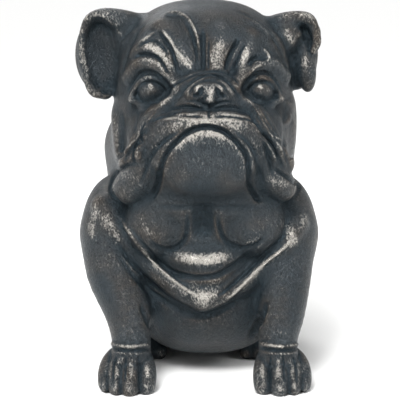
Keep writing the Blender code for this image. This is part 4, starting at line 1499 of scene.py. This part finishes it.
@dataclass
class Statue:
    """The statue's fine skin, made over the solid of the frame and carved."""

    node: str = "bulldog_statue"
    body: str = "root"
    slot: str = "patina"
    # Where the middle of the statue's box stands in the drawing, and its size there
    drawn_middle: Spot = (-4.55, 23.89)
    drawn_scale: float = 0.9965
    grain: float = 1.0
    quick_grain: float = 1.8
    facets: int = 196000
    # How far round a point, in mm², the skin is levelled to find crests, swells and bulk
    crest_area: float = 8.0
    swell_area: float = 40.0
    bulk_area: float = 130.0
    # How far out, in mm, clay is looked for that shelters a point, and what each find counts. A
    # sheltered point takes the wash and painted shade.
    shelter_reaches: tuple[tuple[float, float], ...] = ((4.0, 0.35), (9.0, 0.35), (16.0, 0.3))
    parts: tuple[Part, ...] = field(
        default_factory=lambda: (
            Body(), Head(), Forelegs(), Ears(), Muzzle(), Forehead(), Eyes(), Chest()
        )
    )
    wax_and_light: WaxAndPaintedLight = field(default_factory=WaxAndPaintedLight)

    def clay(self) -> Clay:
        """Gathers the masses and the lines of every part.

        Returns:
            The clay of the whole statue.
        """
        clay = Clay()
        for part in self.parts:
            part.model(clay)
        for part in self.parts:
            part.carve(clay)
        self.wax_and_light.mark_face(clay)
        self.wax_and_light.mark_body(clay)
        return clay

    def spacing(self) -> float:
        """Gives the space between points of the skin, in mm."""
        return self.grain

    def blank(self) -> bpy.types.Object:
        """Copies the solid of the frame into the drawing, in mm, with one even skin.

        Returns:
            The object to carve.
        """
        mesh = bmesh.new()
        mesh.from_mesh(bpy.data.objects[self.node].data)
        bmesh.ops.remove_doubles(mesh, verts=mesh.verts, dist=1e-6)
        bmesh.ops.scale(mesh, verts=mesh.verts, vec=(1 / (self.drawn_scale * MM),) * 3)
        bmesh.ops.translate(mesh, verts=mesh.verts, vec=(*self.drawn_middle, 0))
        bmesh.ops.recalc_face_normals(mesh, faces=mesh.faces)
        made = bpy.data.meshes.new("bulldog_skin")
        mesh.to_mesh(made)
        mesh.free()
        found = bpy.data.objects.new("bulldog_skin", made)
        bpy.context.scene.collection.objects.link(found)
        self.reskin(found)
        return found

    def apply_modifiers(self, obj: bpy.types.Object) -> None:
        """Makes the object's modifiers part of its mesh.

        Args:
            obj: The object.
        """
        bpy.context.view_layer.update()
        graph = bpy.context.evaluated_depsgraph_get()
        mesh = bpy.data.meshes.new_from_object(obj.evaluated_get(graph))
        obj.modifiers.clear()
        obj.data = mesh

    def reskin(self, obj: bpy.types.Object) -> None:
        """Lays one even skin round the object.

        Args:
            obj: The object.
        """
        voxels = obj.modifiers.new("Skin", "REMESH")
        voxels.mode = "VOXEL"
        voxels.voxel_size = self.spacing()
        voxels.adaptivity = 0.0
        self.apply_modifiers(obj)

    def draw_in(self, obj: bpy.types.Object, clay: Clay, rounds: int) -> None:
        """Draws the object's skin onto the clay along its own normals.

        Args:
            obj: The skin, in mm.
            clay: The clay.
            rounds: How many times each point is moved.
        """
        for _ in range(rounds):
            points = skin_points(obj.data)
            gap = np.clip(clay.distance(points, band=9.0), -4.0, 4.0)
            set_points(obj.data, points - outward(obj.data) * gap[:, None])

    def measure(self, obj: bpy.types.Object, clay: Clay) -> None:
        """Writes as attributes each point's rise, wash and painted shade, and wax and painted
        highlight.

        Args:
            obj: The carved skin, in mm.
            clay: The clay that it was carved from.
        """
        mesh = obj.data
        points = skin_points(mesh)
        out = outward(mesh)
        ends = rows_of(mesh.edges, "vertices", 2, np.int32)
        patch = self.spacing() ** 2
        near = averaged(points, ends, max(2, round(self.crest_area / patch)))
        wide = averaged(near, ends, round(self.swell_area / patch))
        broad = averaged(wide, ends, round(self.bulk_area / patch))
        crest, swell, bulk = (((points - level) * out).sum(axis=1) for level in (near, wide, broad))
        deep = np.zeros(len(points))
        for reach, weight in self.shelter_reaches:
            room = clay.distance(points + out * reach, far=30.0, band=reach)
            deep += weight * np.clip(1.0 - room / reach, 0.0, 1.0)
        under = np.clip(-out[:, 2], 0.0, 1.0)
        # Wax is laid thicker on forms that face the lamps in front and above, which paints highlights
        # there. The drawn marks count only on forms that face the front.
        toward_lamps = np.clip(0.3 - 0.4 * out[:, 1] + 0.6 * out[:, 2], 0.0, 1.0)
        front = np.clip(0.2 - 1.4 * out[:, 1] + 0.7 * out[:, 2], 0.0, 1.0)
        marks_of_wax_and_light = np.clip(clay.total(clay.wax_and_light_marks, points), -0.5, 1.2) * front
        height = np.minimum(crest, 0.3) * 0.5 + swell * 0.35 + bulk * 0.03 - 0.12
        # The wash stays in hollows and where a mark keeps the cloth away. The same colour is painted as
        # shade where clay closes over a point, on undersides and on the marks of painted shade. How
        # much each measure counts was chosen against the photograph.
        wash_and_shade = deep * 1.6 + under * 0.5 - swell * 0.25 - crest * 0.5 + 0.05
        measured = {
            "raised": np.clip(0.35 + crest * 1.6 + swell * 0.45, 0.0, 1.0),
            "wash_and_painted_shade": np.clip(wash_and_shade + 1.1 * np.clip(-marks_of_wax_and_light, 0.0, 1.0), 0.0, 1.0),
            # Wax and painted highlights, less in hollows and on the marks of painted shade
            "wax_and_painted_light": np.clip(height, -0.5, 0.8) * (0.25 + 0.9 * toward_lamps) + marks_of_wax_and_light - 0.6 * deep,
        }
        for name, values in measured.items():
            layer = mesh.attributes.new(name, "FLOAT", "POINT")
            layer.data.foreach_set("value", values.astype(np.float32))

    def cut_at_ground(self, obj: bpy.types.Object) -> None:
        """Cuts the skin flat at the ground and closes the cut.

        Args:
            obj: The skin.
        """
        mesh = bmesh.new()
        mesh.from_mesh(obj.data)
        everything = mesh.verts[:] + mesh.edges[:] + mesh.faces[:]
        bmesh.ops.bisect_plane(
            mesh, geom=everything, dist=1e-3, plane_co=(0, 0, 0), plane_no=(0, 0, 1), clear_inner=True
        )
        rim = [edge for edge in mesh.edges if edge.is_boundary]
        filled = bmesh.ops.holes_fill(mesh, edges=rim, sides=0)
        bmesh.ops.triangulate(mesh, faces=filled["faces"])
        mesh.to_mesh(obj.data)
        mesh.free()

    def thin(self, obj: bpy.types.Object) -> None:
        """Leaves fewer facets, kept where the form bends most.

        Args:
            obj: The skin.
        """
        have = sum(len(face.vertices) - 2 for face in obj.data.polygons)
        if have <= self.facets:
            return
        fewer = obj.modifiers.new("Facets", "DECIMATE")
        fewer.ratio = self.facets / have
        fewer.use_collapse_triangulate = True
        self.apply_modifiers(obj)

    def stand(self, obj: bpy.types.Object) -> None:
        """Moves the skin into the solid's box in the row frame, in metres.

        Args:
            obj: The skin, in mm.
        """
        low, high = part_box(self.node)
        points = skin_points(obj.data)
        least, most = points.min(axis=0), points.max(axis=0)
        scale = (high.z - low.z) / (most[2] - least[2])
        middle = np.array([(least[0] + most[0]) / 2, (least[1] + most[1]) / 2, least[2]])
        place = np.array([(low.x + high.x) / 2, (low.y + high.y) / 2, low.z])
        set_points(obj.data, (points - middle) * scale + place)

    def dress(self, skin: bpy.types.Object, finish: Patina) -> None:
        """Gives the skin its patina, and lets it stand for the solid.

        Args:
            skin: The skin.
            finish: Its patina.
        """
        skin.data.materials.clear()
        skin.data.materials.append(finish.material())
        skin.data.shade_smooth()
        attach(skin, self.body)
        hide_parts(self.node)

    def build(self, finish: Patina) -> bpy.types.Object:
        """Makes the carved and patinated statue.

        Args:
            finish: Its patina.

        Returns:
            The finished object.
        """
        clay = self.clay()
        skin = self.blank()
        self.draw_in(skin, clay, 3)
        self.reskin(skin)
        self.draw_in(skin, clay, 1)
        settled, way = clay.settle(skin_points(skin.data))
        clay.press_lines()
        set_points(skin.data, clay.carve(settled, way))
        self.measure(skin, clay)
        self.thin(skin)
        self.cut_at_ground(skin)
        self.stand(skin)
        self.dress(skin, finish)
        return skin


@dataclass(frozen=True)
class StudioWhite:
    """Matt white studio paint: pale and even, so that only a soft shadow shows on it."""

    white: str = "#f6f6f5"
    roughness: float = 0.9

    def material(self) -> bpy.types.Material:
        """Builds the paint.

        Returns:
            The material.
        """
        made = bpy.data.materials.new("Matt white studio paint")
        made.use_nodes = True
        shader = made.node_tree.nodes["Principled BSDF"]
        shader.inputs["Base Color"].default_value = linear(self.white)
        shader.inputs["Roughness"].default_value = self.roughness
        return made


@dataclass(frozen=True)
class Softbox:
    """A square soft light: where it hangs, the length of its side and its power in watts."""

    name: str
    place: Triple
    size: float
    power: float

    def hang(self, aim: Triple) -> None:
        """Hangs the light.

        Args:
            aim: The point that it shines at.
        """
        light = bpy.data.lights.new(self.name, "AREA")
        light.shape = "SQUARE"
        light.size = self.size
        light.energy = self.power
        found = bpy.data.objects.new(self.name, light)
        found.location = self.place
        way = Vector(aim) - Vector(self.place)
        found.rotation_euler = way.to_track_quat("-Z", "Y").to_euler()
        bpy.context.scene.collection.objects.link(found)


@dataclass
class Studio:
    """A pale floor, soft lights and a camera in front of the statue, a little above it."""

    floor_size: float = 40.0
    eye: Triple = (0.0020, -1.1698, 0.3508)
    tilt: float = 10.542
    lens: float = 128.24
    sensor: float = 36.0
    aim: Triple = (0.0, 0.0, 0.17)
    softboxes: tuple[Softbox, ...] = (
        Softbox("front_softbox", (-0.30, -1.0, 1.15), 0.4, 15.0),
        Softbox("side_softbox", (1.2, -0.6, 0.9), 0.5, 6.5),
        Softbox("back_softbox", (-0.5, 1.3, 1.2), 0.8, 8.0),
    )
    # The skylight's direction, how wide its source looks in degrees, and its W/m²
    sky_way: Triple = (-0.25, -0.75, 1.05)
    sky_angle: float = 40.0
    sky_strength: float = 2.8
    # How bright the air is on the statue, and as the camera sees it behind the floor
    fill: float = 0.4
    backdrop: float = 0.86

    def floor(self, finish: StudioWhite) -> bpy.types.Object:
        """Lays the floor.

        Args:
            finish: Its paint.

        Returns:
            The floor.
        """
        mesh = bmesh.new()
        bmesh.ops.create_grid(mesh, x_segments=1, y_segments=1, size=self.floor_size / 2)
        made = bpy.data.meshes.new("studio_floor")
        mesh.to_mesh(made)
        mesh.free()
        found = bpy.data.objects.new("studio_floor", made)
        bpy.context.scene.collection.objects.link(found)
        made.materials.append(finish.material())
        return found

    def skylight(self, name: str) -> None:
        """Lets soft light in from far off, even over the whole floor.

        Args:
            name: The light's name.
        """
        light = bpy.data.lights.new(name, "SUN")
        light.angle = math.radians(self.sky_angle)
        light.energy = self.sky_strength
        found = bpy.data.objects.new(name, light)
        found.rotation_euler = (-Vector(self.sky_way)).to_track_quat("-Z", "Y").to_euler()
        bpy.context.scene.collection.objects.link(found)

    def air(self, name: str) -> None:
        """Fills the studio with even white light.

        Args:
            name: The world's name.
        """
        world = bpy.data.worlds.new(name)
        bpy.context.scene.world = world
        world.use_nodes = True
        tree = world.node_tree
        sky = tree.nodes["Background"]
        sky.inputs["Color"].default_value = linear("#ffffff")
        seen = add_node(tree, "LightPath", {}, "Is Camera Ray")
        glow = add_node(tree, "MapRange", {"Value": seen, 3: self.fill, 4: self.backdrop})
        tree.links.new(glow, sky.inputs["Strength"])

    def camera(self) -> bpy.types.Object:
        """Sets up the camera.

        Returns:
            The camera.
        """
        data = bpy.data.cameras.new("front_camera")
        data.lens = self.lens
        data.sensor_width = self.sensor
        found = bpy.data.objects.new("front_camera", data)
        found.location = self.eye
        found.rotation_euler = (math.radians(90.0 - self.tilt), 0.0, 0.0)
        bpy.context.scene.collection.objects.link(found)
        bpy.context.scene.camera = found
        return found


def main() -> None:
    """Builds the statue and its studio, and notes the size of the statue's mesh.

    Each piece is reported as it is finished.
    """
    logging.basicConfig(level=logging.INFO, format="%(name)s: %(message)s")
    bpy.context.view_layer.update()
    statue = Statue().build(Patina())
    mesh = statue.data
    LOG.info("%s: %d points, %d faces", statue.name, len(mesh.vertices), len(mesh.polygons))
    studio = Studio()
    floor = studio.floor(StudioWhite())
    LOG.info("%s: laid", floor.name)
    studio.skylight("key_skylight")
    for softbox in studio.softboxes:
        softbox.hang(studio.aim)
    studio.air("pale_studio")
    LOG.info("lights: %d hung", len(studio.softboxes) + 1)
    camera = studio.camera()
    LOG.info("%s: lens %.2f mm", camera.name, camera.data.lens)
    bpy.context.scene.view_settings.view_transform = "Standard"


if __name__ == "__main__":
    main()
